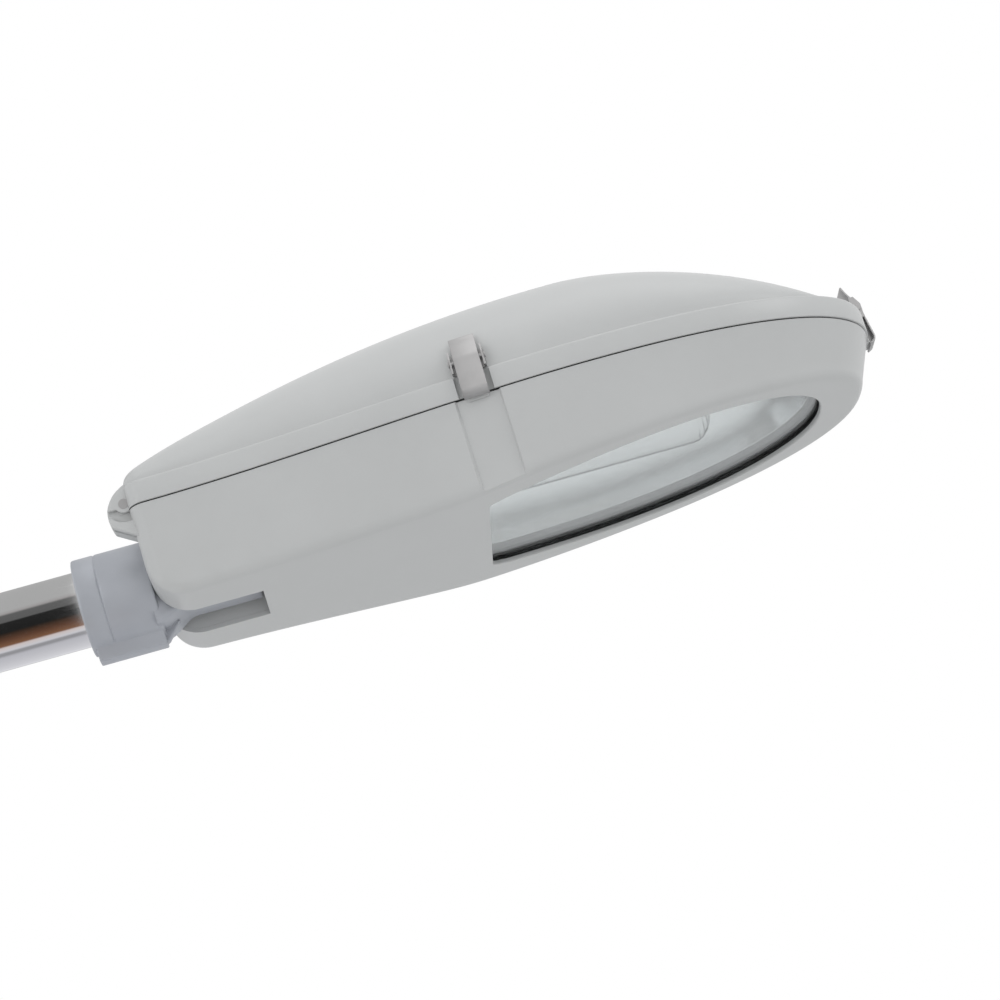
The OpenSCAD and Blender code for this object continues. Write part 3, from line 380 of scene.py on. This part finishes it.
def bevel(obj, width, segments=2):
    mod = obj.modifiers.new("edges", "BEVEL")
    mod.width = width * MM
    mod.segments = segments
    mod.limit_method = "ANGLE"
    mod.angle_limit = SHARP
    apply_modifiers(obj)


def cut(obj, parts):
    """Cuts closed forms out of a shell, and gives its surfaces back the smooth normals they had."""
    off_surface, same_plane, turned_little, inward = 0.00006, 0.97, 0.9, 0.08
    usable_length, usable_turn = 0.5, 0.75
    before = obj.data.copy()
    smooth(before)
    for part in parts:
        tool = new_object("cutter", part)
        mod = obj.modifiers.new("cut", "BOOLEAN")
        mod.operation = "DIFFERENCE"
        mod.solver = "EXACT"
        mod.object = tool
        apply_modifiers(obj)
        bpy.data.objects.remove(tool)
    mesh = obj.data
    smooth(mesh)
    tree = BVHTree.FromPolygons([v.co for v in before.vertices], [p.vertices[:] for p in before.polygons])
    corner_normals = [Vector(c.vector) for c in before.corner_normals]
    kept = [Vector(c.vector) for c in mesh.corner_normals]
    for face in mesh.polygons:
        centre = face.center
        hit = tree.find_nearest(centre)
        if hit[0] is None or hit[3] > off_surface or hit[1].dot(face.normal) < same_plane:
            continue
        for loop in face.loop_indices:
            point = mesh.vertices[mesh.loops[loop].vertex_index].co
            near = tree.find_nearest(point.lerp(centre, inward))
            if near[0] is None or near[1].dot(face.normal) < turned_little:
                continue
            source = before.polygons[near[2]]
            weights = poly_3d_calc([before.vertices[v].co for v in source.vertices], point)
            normal = Vector()
            for w, k in zip(weights, source.loop_indices):
                normal += corner_normals[k] * w
            if normal.length > usable_length and normal.normalized().dot(face.normal) > usable_turn:
                kept[loop] = normal.normalized()
    mesh.normals_split_custom_set(kept)
    bpy.data.meshes.remove(before)


def finish_piece(obj, body, material, replaces=()):
    obj.data.materials.clear()
    obj.data.materials.append(material)
    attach(obj, body)
    if replaces:
        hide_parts(*replaces)
    return obj


# Materials

def node_material(name):
    mat = bpy.data.materials.new(name)
    mat.use_nodes = True
    nodes, links = mat.node_tree.nodes, mat.node_tree.links
    shader = nodes["Principled BSDF"]
    coords = nodes.new("ShaderNodeTexCoord")
    return mat, nodes, links, shader, coords


def noise(nodes, links, coords, scale, detail=3.0, rough=0.55, stretch=(1, 1, 1)):
    place = nodes.new("ShaderNodeMapping")
    place.inputs["Scale"].default_value = stretch
    links.new(coords.outputs["Object"], place.inputs["Vector"])
    tex = nodes.new("ShaderNodeTexNoise")
    tex.inputs["Scale"].default_value = scale
    tex.inputs["Detail"].default_value = detail
    tex.inputs["Roughness"].default_value = rough
    links.new(place.outputs["Vector"], tex.inputs["Vector"])
    return tex.outputs["Fac"]


def ramp(nodes, links, value, stops):
    node = nodes.new("ShaderNodeValToRGB")
    elements = node.color_ramp.elements
    while len(elements) < len(stops):
        elements.new(0.5)
    for e, (at, colour) in zip(elements, stops):
        e.position = at
        e.color = (*colour, 1)
    links.new(value, node.inputs["Fac"])
    return node.outputs["Color"]


def shift(nodes, links, value, low, high):
    node = nodes.new("ShaderNodeMapRange")
    node.inputs["From Min"].default_value = 0.3
    node.inputs["From Max"].default_value = 0.7
    node.inputs["To Min"].default_value = low
    node.inputs["To Max"].default_value = high
    links.new(value, node.inputs["Value"])
    return node.outputs["Result"]


def surface(name, low, high, rough, metallic=0.0, patch=9.0, grain=900.0, bump=0.15, depth=0.0001,
            round_edges=0.0, stretch=(1, 1, 1), coat=0.0, specular=0.5):
    """Colour that drifts between two tones, roughness that drifts with it, and a fine grain."""
    mat, nodes, links, shader, coords = node_material(name)
    cloud = noise(nodes, links, coords, patch, 5.0, 0.6)
    fine = noise(nodes, links, coords, grain, 3.0, 0.5, stretch)
    links.new(ramp(nodes, links, cloud, [(0.3, low), (0.7, high)]), shader.inputs["Base Color"])
    links.new(shift(nodes, links, cloud, rough[0], rough[1]), shader.inputs["Roughness"])
    shader.inputs["Metallic"].default_value = metallic
    shader.inputs["Specular IOR Level"].default_value = specular
    if coat:
        shader.inputs["Coat Weight"].default_value = coat
        shader.inputs["Coat Roughness"].default_value = 0.12
    relief = nodes.new("ShaderNodeBump")
    relief.inputs["Strength"].default_value = bump
    relief.inputs["Distance"].default_value = depth
    links.new(fine, relief.inputs["Height"])
    if round_edges:
        edge = nodes.new("ShaderNodeBevel")
        edge.samples = 4
        edge.inputs["Radius"].default_value = round_edges * MM
        links.new(edge.outputs["Normal"], relief.inputs["Normal"])
    links.new(relief.outputs["Normal"], shader.inputs["Normal"])
    return mat


def clear_glass(name, tint, rough):
    """Clear glass that lets lamp light and shadows through."""
    mat, nodes, links, shader, coords = node_material(name)
    shader.inputs["Transmission Weight"].default_value = 1.0
    shader.inputs["IOR"].default_value = 1.48
    cloud = noise(nodes, links, coords, 12.0)
    links.new(ramp(nodes, links, cloud, [(0.3, tint), (0.7, tuple(min(1, c * 1.02) for c in tint))]),
              shader.inputs["Base Color"])
    links.new(shift(nodes, links, cloud, rough * 0.6, rough), shader.inputs["Roughness"])
    path = nodes.new("ShaderNodeLightPath")
    clear = nodes.new("ShaderNodeBsdfTransparent")
    clear.inputs["Color"].default_value = (0.95, 0.96, 0.96, 1)
    mix = nodes.new("ShaderNodeMixShader")
    either = nodes.new("ShaderNodeMath")
    either.operation = "MAXIMUM"
    links.new(path.outputs["Is Shadow Ray"], either.inputs[0])
    links.new(path.outputs["Is Diffuse Ray"], either.inputs[1])
    links.new(either.outputs["Value"], mix.inputs["Fac"])
    links.new(shader.outputs["BSDF"], mix.inputs[1])
    links.new(clear.outputs["BSDF"], mix.inputs[2])
    links.new(mix.outputs["Shader"], nodes["Material Output"].inputs["Surface"])
    return mat


coat_grey = surface("powder_coat", (0.50, 0.505, 0.50), (0.53, 0.535, 0.53), (0.36, 0.44), grain=520,
                    bump=0.1, depth=0.0002, round_edges=0.5)
bezel_grey = surface("satin_flange", (0.27, 0.275, 0.285), (0.33, 0.335, 0.345), (0.4, 0.5), metallic=0.7,
                     patch=30, grain=500, bump=0.05)
cast_blue = surface("cast_aluminium", (0.40, 0.415, 0.45), (0.45, 0.465, 0.50), (0.42, 0.52), metallic=0.3,
                    patch=16, grain=420, bump=0.3, depth=0.0003, round_edges=0.8)
chrome = surface("bright_chrome", (0.80, 0.80, 0.80), (0.84, 0.84, 0.84), (0.03, 0.07), metallic=1, patch=5,
                 grain=300, bump=0.02, depth=0.00005)
stainless = surface("stainless_steel", (0.40, 0.395, 0.395), (0.46, 0.455, 0.455), (0.46, 0.56), metallic=1,
                    patch=60, grain=420, bump=0.25, depth=0.00012, round_edges=0.3)
zinc = surface("zinc_plate", (0.50, 0.50, 0.47), (0.62, 0.61, 0.56), (0.3, 0.45), metallic=1, patch=40,
               grain=700, bump=0.1, round_edges=0.25)
rubber = surface("black_rubber", (0.012, 0.012, 0.012), (0.025, 0.025, 0.025), (0.55, 0.75), patch=60,
                 grain=1500, bump=0.25, round_edges=0.3)
lens_glass = clear_glass("lens_glass", (0.93, 0.955, 0.95), 0.03)
lamp_glass = clear_glass("lamp_glass", (0.98, 0.98, 0.98), 0.02)
mirror_sheet = surface("reflector_sheet", (0.80, 0.81, 0.82), (0.86, 0.87, 0.875), (0.16, 0.24), metallic=1,
                       patch=14, grain=180, bump=0.08, depth=0.0003)
ceramic = surface("arc_ceramic", (0.80, 0.78, 0.72), (0.88, 0.86, 0.80), (0.3, 0.4), patch=80)
brass = surface("nickel_brass", (0.62, 0.56, 0.44), (0.72, 0.66, 0.54), (0.22, 0.34), metallic=1, patch=40)
glaze = surface("glazed_porcelain", (0.78, 0.77, 0.73), (0.84, 0.83, 0.80), (0.12, 0.2), patch=18,
                bump=0.04, coat=0.6)
iron = surface("varnished_iron", (0.035, 0.034, 0.033), (0.075, 0.07, 0.065), (0.35, 0.55), patch=50,
               grain=900, bump=0.4, depth=0.0003, stretch=(6, 1, 1))
copper = surface("varnished_copper", (0.22, 0.075, 0.02), (0.32, 0.12, 0.035), (0.25, 0.4), patch=60,
                 grain=700, bump=0.5, depth=0.0004, stretch=(1, 8, 1), coat=0.4)
can = surface("drawn_aluminium", (0.70, 0.71, 0.72), (0.78, 0.79, 0.80), (0.25, 0.36), metallic=1, patch=20,
              grain=500, stretch=(1, 6, 6), round_edges=0.4)
ivory = surface("ivory_plastic", (0.74, 0.71, 0.62), (0.80, 0.77, 0.69), (0.3, 0.42), patch=25, grain=1100,
                bump=0.08, round_edges=0.3)

BY_SLOT = {
    "chromed_tube": chrome, "cast_bracket": cast_blue, "coated_casting": coat_grey, "zinc_steel": zinc,
    "stainless": stainless, "black_rubber": rubber, "lens_glass": lens_glass, "lamp_glass": lamp_glass,
    "reflector_sheet": mirror_sheet, "arc_ceramic": ceramic, "brass_cap": brass, "porcelain": glaze,
    "iron_core": iron, "copper_winding": copper, "capacitor_can": can, "white_plastic": ivory,
}
for part in frame["record"]["subparts"]:
    node = frame["nodes"][part["node"]]
    node.data.materials.clear()
    node.data.materials.append(BY_SLOT[part["material_slot"]])


# Lower body

line = stations()
walls = shell([body_outer(s) for s in line], [body_inner(s) for s in line])
body = new_object("housing_shell", (at_head(walls[0]), walls[1]))

# The sunk panels under the side catches have sloping sides and lean with the wall
PANEL_DEPTH, PANEL_HALF, PANEL_OUT, PANEL_FLARE = 2.2, 16.5, 8.0, 1.3 / 1.8
wall_angle = math.atan(LEAN / DEPTH)
wide = PANEL_HALF + (PANEL_DEPTH + PANEL_OUT) * PANEL_FLARE
recess = [(-PANEL_DEPTH, -PANEL_HALF), (-PANEL_DEPTH, PANEL_HALF), (PANEL_OUT, wide), (PANEL_OUT, -wide)]
panel = rings([[(x, y, z) for x, y in recess] for z in (-DEPTH - 6, 4)])
sunk = moved(panel, (-SETBACK, 0, -SEAM), Matrix.Rotation(wall_angle, 3, "Y"))
channel = box((REAR_X - 5, -CHANNEL_HALF, RIM_Z - DEPTH - 10),
              (REAR_X + CHANNEL_END, CHANNEL_HALF, RIM_Z + ARM_TOP))
lens_hole = lens_loft([(1.3, -12), (1.3, -0.1), (0.75, 0.25), (0.3, 0.7), (0.05, 1.3), (0, 2), (0, 9)])
cut(body, [at_latch(sunk, -1), at_latch(sunk, 1), channel, (on_lens(lens_hole[0]), lens_hole[1])])
finish_piece(body, "housing", coat_grey, ["lower_body"])


# Fittings of the lower body

LUG_PLATE, END_GAP = 4.7, 0.3
lug_in = LUG_OUT - LUG_W
hub = arc(LUG_R, 0, 352.5, 47)
foot = [(-13.6, -1), (-14.2, -5), (-14.2, -9.5), (-13.2, -14), (-12.1, -16.7), (5.8, -27.9),
        (5.8, -8), (0, -1)]
plate = [(-14.2, -9.5), (-13.2, -14), (-12.1, -16.7), (5.8, -27.9), (5.8, -13.4)]
plate += arc(EAR_R + 0.4, 284, 216, 16)
lug = joined(prism_y(hub, lug_in, LUG_OUT), prism_y(foot, lug_in, LUG_OUT - 0.1),
             prism_y(plate, LUG_OUT - LUG_PLATE, EAR_OUT - END_GAP))
lugs = new_object("hinge_lugs", pair(at_pin(lug)))
bevel(lugs, 0.8, 3)
smooth(lugs.data)
finish_piece(lugs, "housing", coat_grey)

# The walls of the channel stand a little behind the cut's edges
roof, gap, inset = ARM_TOP + 4, 0.12, 0.2
channel_front, half_width = CHANNEL_END + WALL, CHANNEL_HALF + 1
turns = [math.radians(a) for a in range(0, 91, 6)]
side_wall = [(REAR_ROUND - (REAR_ROUND - inset) * math.cos(a),
              -DEPTH + REAR_ROUND - (REAR_ROUND - inset) * math.sin(a)) for a in turns]
side_wall += [(channel_front, -DEPTH + inset), (channel_front, roof), (inset, roof)]
side_plate = prism_y(side_wall, CHANNEL_HALF + gap, CHANNEL_HALF + WALL)
lid = box((inset, -half_width, ARM_TOP + gap), (channel_front, half_width, roof))
front = box((CHANNEL_END + gap, -half_width, -DEPTH + 0.4), (channel_front, half_width, roof))
channel_walls = joined(side_plate, mirrored(side_plate), lid, front)
trough = new_object("arm_channel", moved(channel_walls, (REAR_X, 0, RIM_Z)))
smooth(trough.data)
finish_piece(trough, "housing", coat_grey)

# The bars that the straps hook under
catch, catch_half = [(-2.4, -5), (-2.4, -2.3), (1.4, -2.3), (1.4, 1), (-3.5, 1), (-3.5, -5)], 8.5
bars = [at_latch(prism_y(catch, -catch_half, catch_half), side) for side in (-1, 1, 0)]
catches = new_object("catch_bars", joined(*bars))
bevel(catches, 0.3, 2)
smooth(catches.data)
finish_piece(catches, "housing", coat_grey)


# Cover

dome_shell = shell([cover_outer(s) for s in line], [cover_inner(s) for s in line])
cover = new_object("cover_shell", (at_head(dome_shell[0]), dome_shell[1]))
# Room for the hinge lugs in the cover's rear edge
ROOM_R, ROOM_HALF, ROOM_DOWN = 8.8, 9, 7
window = at_pin(disc_y(ROOM_R, -ROOM_HALF, ROOM_HALF))
window_box = at_pin(box((0, -ROOM_HALF, -ROOM_DOWN), (ROOM_R, ROOM_HALF, 0)))
windows = []
for side in (-1, 1):
    off = (0, side * (LUG_OUT - LUG_W / 2), 0)
    windows += [moved(window, off), moved(window_box, off)]
notch = box((-4.2, -14, -1), (6, 14, BAND_H + 1.3))
cut(cover, windows + [at_latch(notch, side) for side in (-1, 1, 0)])
finish_piece(cover, "cover", coat_grey, ["cover"])

ear = [(0.7, 13.7), (-3.4, 11.2), (-6.8, 8.4), (-9.8, 4.6), (-12, 0.8), (-13.5, -2.9)]
ear += arc(7, 205, 268, 16)
ear += [(11, -4.7), (11, BAND_H - PIN_UP + 2), (4.5, 15.6)]
ears = new_object("hinge_ears", pair(at_pin(prism_y(ear, EAR_OUT - EAR_T, EAR_OUT - END_GAP))))
bevel(ears, 0.9, 3)
smooth(ears.data)
finish_piece(ears, "cover", coat_grey)

pad = new_object("catch_pad", at_latch(box((-12, -15, BAND_H - 2), (-4.6, 15, BAND_H + 16)), 0))
bevel(pad, 2.2, 4)
smooth(pad.data)
finish_piece(pad, "cover", coat_grey)


# Lens, seal and reflector, with smoother curves than their solids

def lens_piece(name, steps, material, replaces, close=True):
    loft = lens_loft(steps, close)
    obj = new_object(name, (on_lens(loft[0]), loft[1]))
    smooth(obj.data)
    return finish_piece(obj, "housing", material, [replaces])


# Each step is how far out from the lens's outline, and how high over the underside
seal_steps = [(1.2, 4), (1.0, 4.4), (1.0, 5.2), (1.3, 5.5), (5.9, 5.6), (6.2, 5.6), (6.2, 10.4), (1.3, 10.5),
              (1.0, 10.8), (1.0, 11.6), (1.3, 12), (7.1, 12), (7.5, 11.6), (7.5, 4.4), (7.1, 4)]
lens_piece("lens_seal_ring", seal_steps, rubber, "lens_seal")
pane_steps = [(5.6, 5.65), (5.95, 6.0), (5.95, 10.0), (5.6, 10.35)]
lens_piece("lens_pane", pane_steps, lens_glass, "lens_glass", close=False)

bowl_in, bowl_h, ledge, skirt, tab_z = 60.0, 68.0, 3.5, 8.0, 13.0
rim = [(0, tab_z + 0.3), (0, tab_z + skirt - 1), (-0.5, tab_z + skirt), (-ledge, tab_z + skirt + 0.6),
       (-ledge, tab_z + skirt + 1.5), (0.4, tab_z + skirt + 1.1), (1, tab_z + skirt + 0.4), (1, tab_z + 0.3)]
lens_piece("reflector_flange", rim, bezel_grey, "reflector")
bowl_steps = 16
inside = [(-ledge + 0.6, tab_z + skirt + 0.2), (-ledge, tab_z + skirt + 0.7)]
for k in range(1, bowl_steps + 1):
    a = math.radians(90 * k / bowl_steps)
    inside.append((-ledge - bowl_in * (1 - math.cos(a)), tab_z + skirt + 0.6 + bowl_h * math.sin(a)))
sheet = lens_loft(inside)
outer = lens_loft([(g + 1, z + 1) for g, z in inside])
n = len(lens_outline(0))
base = len(outer[0])
faces = outer[1][:-2] + [tuple(base + v for v in reversed(f)) for f in sheet[1][:-2]]
faces += [(j, (j + 1) % n, base + (j + 1) % n, base + j) for j in range(n)]
top = (len(inside) - 1) * n
faces += [tuple(top + j for j in range(n)), tuple(base + top + j for j in range(n - 1, -1, -1))]
bowl = new_object("reflector_bowl", (on_lens(outer[0] + sheet[0]), faces))
# The hole in the bowl's rear that the lamp passes through
LAMP_DOWN, LAMP_HOLE_R = 14, 26
angles = [2 * math.pi * k / 64 for k in range(64)]
lamp_hole = []
for x in (REAR_X + LENS_AT - 20, REAR_X + LENS_AT + 45):
    lamp_hole.append([(x, LAMP_HOLE_R * math.cos(a), RIM_Z - LAMP_DOWN + LAMP_HOLE_R * math.sin(a))
                      for a in angles])
cut(bowl, [rings(lamp_hole)])
finish_piece(bowl, "housing", mirror_sheet, ["reflector"])


# Bracket

def turned(path, n=96):
    """Turns an open path of (radius, x) points about X and closes both ends."""
    angles = [2 * math.pi * k / n for k in range(n)]
    return rings([[(x, r * math.cos(a), r * math.sin(a)) for a in angles] for r, x in path])


def rounded_section(x, half, low, high, r, steps=6):
    """A rectangle with round corners, across X."""
    out = []
    for cy, cz, start in ((half - r, high - r, 0), (r - half, high - r, 90),
                          (r - half, low + r, 180), (half - r, low + r, 270)):
        for k in range(steps + 1):
            a = math.radians(start + 90 * k / steps)
            out.append((x, cy + r * math.cos(a), cz + r * math.sin(a)))
    return out


# Bore, end ring, groove behind the ring, barrel and rounded end
SEAT_R, GROOVE_AT = 29.8, 152.0
collar_path = [(SEAT_R, 186), (SEAT_R, COLLAR_START + 0.6), (30.4, COLLAR_START), (37.3, COLLAR_START),
               (38.2, COLLAR_START + 0.3), (38.8, COLLAR_START + 1), (COLLAR_R, COLLAR_START + 2),
               (COLLAR_R, GROOVE_AT - 1.4), (38.8, GROOVE_AT - 0.8), (38.2, GROOVE_AT - 0.2),
               (38.2, GROOVE_AT + 0.2), (38.8, GROOVE_AT + 0.8), (COLLAR_R, GROOVE_AT + 1.4),
               (COLLAR_R, COLLAR_END - 1.8), (38.7, COLLAR_END - 0.8), (37.8, COLLAR_END)]
rib_foot, rib_root = -COLLAR_R - 8, -COLLAR_R + 6
rib = [(-15.5, rib_root), (-9.5, -COLLAR_R - 1), (-7.5, rib_foot + 1.5), (-6, rib_foot),
       (6, rib_foot), (7.5, rib_foot + 1.5), (9.5, -COLLAR_R - 1), (15.5, rib_root)]
rib_form = rings([[(x, y, z) for y, z in rib] for x in (COLLAR_START + 3, COLLAR_END - 1)])
# The neck narrows from the collar's end to the flat arm
arm_low, arm_high, arm_half, arm_end, arm_round = RIM_Z - 62, RIM_Z - 42.06, 25, 271, 2.6
neck_low, neck_half, neck_round, neck_len, neck_steps = -35, 29.4, 6, 27, 12
neck = [rounded_section(COLLAR_END - 4, neck_half, neck_low, arm_high, neck_round)]
for k in range(neck_steps + 1):
    t = ease(k / neck_steps)
    neck.append(rounded_section(COLLAR_END - 1 + neck_len * k / neck_steps,
                                neck_half - (neck_half - arm_half) * t, neck_low + (arm_low - neck_low) * t,
                                arm_high, neck_round - (neck_round - arm_round) * t))
for back, less, tuck, r in ((1.2, 0, 0, arm_round), (0.3, 0.4, 0.4, 2.4), (0, 1.2, 1.2, 2)):
    neck.append(rounded_section(arm_end - back, arm_half - less, arm_low + tuck, arm_high - tuck, r))
gusset = prism_y([(189, -30), (189, rib_foot + 1), (193, rib_foot + 3), (205, -30)], -4, 4)
shapes = []
for form, width in ((turned(collar_path), 0), (rib_form, 1.2), (rings(neck), 0), (gusset, 1.0)):
    piece = new_object("cast_bracket", form)
    if width:
        bevel(piece, width, 3)
    shapes.append(piece)
bracket = shapes[0]
with bpy.context.temp_override(active_object=bracket, selected_objects=shapes,
                               selected_editable_objects=shapes):
    bpy.ops.object.join()
smooth(bracket.data)
finish_piece(bracket, "housing", cast_blue, ["spigot_bracket"])


# Spring straps

def rounded(path, radius, steps=6):
    """Rounds the inner corners of an open path."""
    out = [path[0]]
    for a, b, c in zip(path, path[1:], path[2:]):
        va, vc = (Vector(a) - Vector(b)), (Vector(c) - Vector(b))
        reach = min(radius, va.length * 0.45, vc.length * 0.45)
        p, q = Vector(b) + va.normalized() * reach, Vector(b) + vc.normalized() * reach
        out += [tuple(bend(p, b, q, k / steps)) for k in range(steps + 1)]
    return out + [path[-1]]


def sheet_outline(path, t):
    """The outline of a strip of sheet of thickness t, bent along a path."""
    left, right = [], []
    for i, p in enumerate(path):
        d = Vector(path[min(i + 1, len(path) - 1)]) - Vector(path[max(i - 1, 0)])
        d.normalize()
        side = Vector((-d.y, d.x))
        left.append(tuple(Vector(p) + side * t / 2))
        right.append(tuple(Vector(p) - side * t / 2))
    return left + right[::-1]


strap_path = [(-7.6, 48.5), (-5.2, 42.5), (2.2, 29.5), (6.3, 1.6), (5.2, -1.4), (1, -3.7)]
strip = sheet_outline(rounded(strap_path, 2.2), STRAP_T)
# The side cheeks of a strap, which its pin passes through
strap_cheek = [(-2.6, 24.4), (0.7, 21.4), (3.2, 22), (2.2, 29.5), (0.5, 32.4), (-2.5, 30)]
strap_half, cheek_t = STRAP_W / 2, 1.4
forms = joined(prism_y(strip, -strap_half, strap_half),
               prism_y(strap_cheek, -strap_half, -strap_half + cheek_t),
               prism_y(strap_cheek, strap_half - cheek_t, strap_half))
for side, name in ((-1, "right"), (1, "left"), (0, "nose")):
    strap = new_object("spring_strap_" + name, at_latch(forms, side))
    bevel(strap, 0.35, 2)
    smooth(strap.data)
    finish_piece(strap, "strap_" + name, stainless, ["latch_strap_" + name])


# Studio

SKY_LEVEL, SKY_LEAN = 0.75, (0.00, 0.00, 0.10)
TOP_POWER, LEFT_POWER, RIGHT_POWER = 9, 13, 9
FLOOR_Z, FLOOR_FROM, FLOOR_TO = -0.9, -6, 7
CARD_R, CARD_ENDS = 800, (-300, 80)
FOCAL, SENSOR = 108, 36
CAMERA_AIM, CAMERA_AWAY, CAMERA_TURN = (0.4705, 0, -0.0046), 2.362, (4.33, 18.01, -16.84)

corners = [(FLOOR_FROM, FLOOR_FROM), (FLOOR_TO, FLOOR_FROM), (FLOOR_TO, FLOOR_TO), (FLOOR_FROM, FLOOR_TO)]
floor_mesh = bpy.data.meshes.new("floor")
floor_mesh.from_pydata([(x, y, FLOOR_Z) for x, y in corners], [], [(0, 1, 2, 3)])
floor = bpy.data.objects.new("floor", floor_mesh)
bpy.context.scene.collection.objects.link(floor)
floor_mat = surface("pale_floor", (0.80, 0.80, 0.80), (0.84, 0.84, 0.84), (0.7, 0.85), patch=2, grain=60,
                    bump=0.02)
floor.data.materials.append(floor_mat)


def card_material(name, stops):
    """Light that changes with the angle round the X axis: 0 faces the camera's side and 90 is straight up."""
    mat = bpy.data.materials.new(name)
    mat.use_nodes = True
    nodes, links = mat.node_tree.nodes, mat.node_tree.links
    nodes.clear()
    split = nodes.new("ShaderNodeSeparateXYZ")
    links.new(nodes.new("ShaderNodeTexCoord").outputs["Object"], split.inputs["Vector"])
    flip = nodes.new("ShaderNodeMath")
    flip.operation = "MULTIPLY"
    flip.inputs[1].default_value = -1.0
    links.new(split.outputs["Y"], flip.inputs[0])
    turn = nodes.new("ShaderNodeMath")
    turn.operation = "ARCTAN2"
    links.new(split.outputs["Z"], turn.inputs[0])
    links.new(flip.outputs["Value"], turn.inputs[1])
    scale = nodes.new("ShaderNodeMapRange")
    scale.inputs["From Min"].default_value = -math.pi
    scale.inputs["From Max"].default_value = math.pi
    links.new(turn.outputs["Value"], scale.inputs["Value"])
    glow = nodes.new("ShaderNodeEmission")
    bands = ramp(nodes, links, scale.outputs["Result"], [((a + 180) / 360, c) for a, c in stops])
    links.new(bands, glow.inputs["Color"])
    out = nodes.new("ShaderNodeOutputMaterial")
    links.new(glow.outputs["Emission"], out.inputs["Surface"])
    return mat


def grey(v, blue=1.0):
    return v, v, v * blue


# A ring of studio cards round the bare tube, which only its mirror finish sees
turns = [math.radians(a) for a in range(0, 360, 6)]
ring = rings([[(x, CARD_R * math.cos(a), CARD_R * math.sin(a)) for a in turns] for x in CARD_ENDS])
cards = bpy.data.objects.new("tube_cards", new_mesh("tube_cards", (ring[0], ring[1][:-2])))
bpy.context.scene.collection.objects.link(cards)
cards.visible_camera = cards.visible_diffuse = cards.visible_shadow = cards.visible_transmission = False
cards.data.materials.append(card_material("tube_cards", [
    (-179, grey(0.80, 1.05)), (-130, grey(0.66, 1.06)), (-99, grey(0.56, 1.08)), (-90, grey(0.33, 1.06)),
    (-83, grey(0.36, 1.06)), (-78, grey(0.68, 1.06)), (-66, (0.70, 0.62, 0.61)), (-61, (0.23, 0.115, 0.066)),
    (-45, (0.13, 0.062, 0.038)), (-27, (0.04, 0.026, 0.019)), (-22, grey(0.018)), (5, grey(0.021)),
    (8, grey(0.125)), (27, grey(0.135)), (33, (0.40, 0.385, 0.385)), (42, grey(0.46)), (179, grey(0.47))]))


def lamp(name, place, aim, size, power):
    data = bpy.data.lights.new(name, "AREA")
    data.shape = "RECTANGLE"
    data.size, data.size_y = size
    data.energy = power
    obj = bpy.data.objects.new(name, data)
    obj.location = place
    obj.rotation_euler = (Vector(aim) - Vector(place)).to_track_quat("-Z", "Y").to_euler()
    bpy.context.scene.collection.objects.link(obj)


lamp("top_light", (1.1, -0.5, 2.4), (0.45, 0, 0), (2.2, 1.6), TOP_POWER)
lamp("left_light", (-1.7, -2.6, 0.5), (0.35, 0, 0), (1.4, 1.4), LEFT_POWER)
lamp("right_light", (2.7, -1.3, 1.1), (0.7, 0, 0), (0.7, 0.9), RIGHT_POWER)

# Lit evenly by the world, which looks plain white to the camera, in mirrors and through glass
world = bpy.data.worlds.new("studio")
bpy.context.scene.world = world
world.use_nodes = True
nodes, links = world.node_tree.nodes, world.node_tree.links
nodes.clear()
rays = nodes.new("ShaderNodeLightPath")
lit = nodes.new("ShaderNodeBackground")
lit.inputs["Color"].default_value = (0.97, 0.985, 1.0, 1)
lean = nodes.new("ShaderNodeVectorMath")
lean.operation = "DOT_PRODUCT"
lean.inputs[1].default_value = SKY_LEAN
links.new(nodes.new("ShaderNodeTexCoord").outputs["Generated"], lean.inputs[0])
level = nodes.new("ShaderNodeMath")
level.operation = "ADD"
level.inputs[1].default_value = SKY_LEVEL
links.new(lean.outputs["Value"], level.inputs[0])
links.new(level.outputs["Value"], lit.inputs["Strength"])
white = nodes.new("ShaderNodeBackground")
white.inputs["Color"].default_value = (1, 1, 1, 1)
white.inputs["Strength"].default_value = 1.0
mix = nodes.new("ShaderNodeMixShader")
out = nodes.new("ShaderNodeOutputWorld")
shown = rays.outputs["Is Camera Ray"]
for kind in ("Is Glossy Ray", "Is Transmission Ray"):
    either = nodes.new("ShaderNodeMath")
    either.operation = "MAXIMUM"
    links.new(shown, either.inputs[0])
    links.new(rays.outputs[kind], either.inputs[1])
    shown = either.outputs["Value"]
links.new(shown, mix.inputs["Fac"])
links.new(lit.outputs["Background"], mix.inputs[1])
links.new(white.outputs["Background"], mix.inputs[2])
links.new(mix.outputs["Shader"], out.inputs["Surface"])

# The camera of the photograph, fitted to its outlines: it looks up at the lantern and leans
yaw, pitch, roll = (math.radians(v) for v in CAMERA_TURN)
forward = Vector((math.sin(yaw) * math.cos(pitch), math.cos(yaw) * math.cos(pitch), math.sin(pitch)))
flat_right = Vector((math.cos(yaw), -math.sin(yaw), 0))
rise = flat_right.cross(forward)
right = math.cos(roll) * flat_right + math.sin(roll) * rise
upward = -math.sin(roll) * flat_right + math.cos(roll) * rise
place = Vector(CAMERA_AIM) - forward * CAMERA_AWAY
camera_data = bpy.data.cameras.new("camera")
camera_data.sensor_width = SENSOR
camera_data.lens = FOCAL
camera_data.clip_end = 50
camera = bpy.data.objects.new("camera", camera_data)
turn = Matrix((right, upward, -forward)).transposed().to_4x4()
camera.matrix_world = Matrix.Translation(place) @ turn
bpy.context.scene.collection.objects.link(camera)
bpy.context.scene.camera = camera
bpy.context.scene.view_settings.view_transform = "Standard"
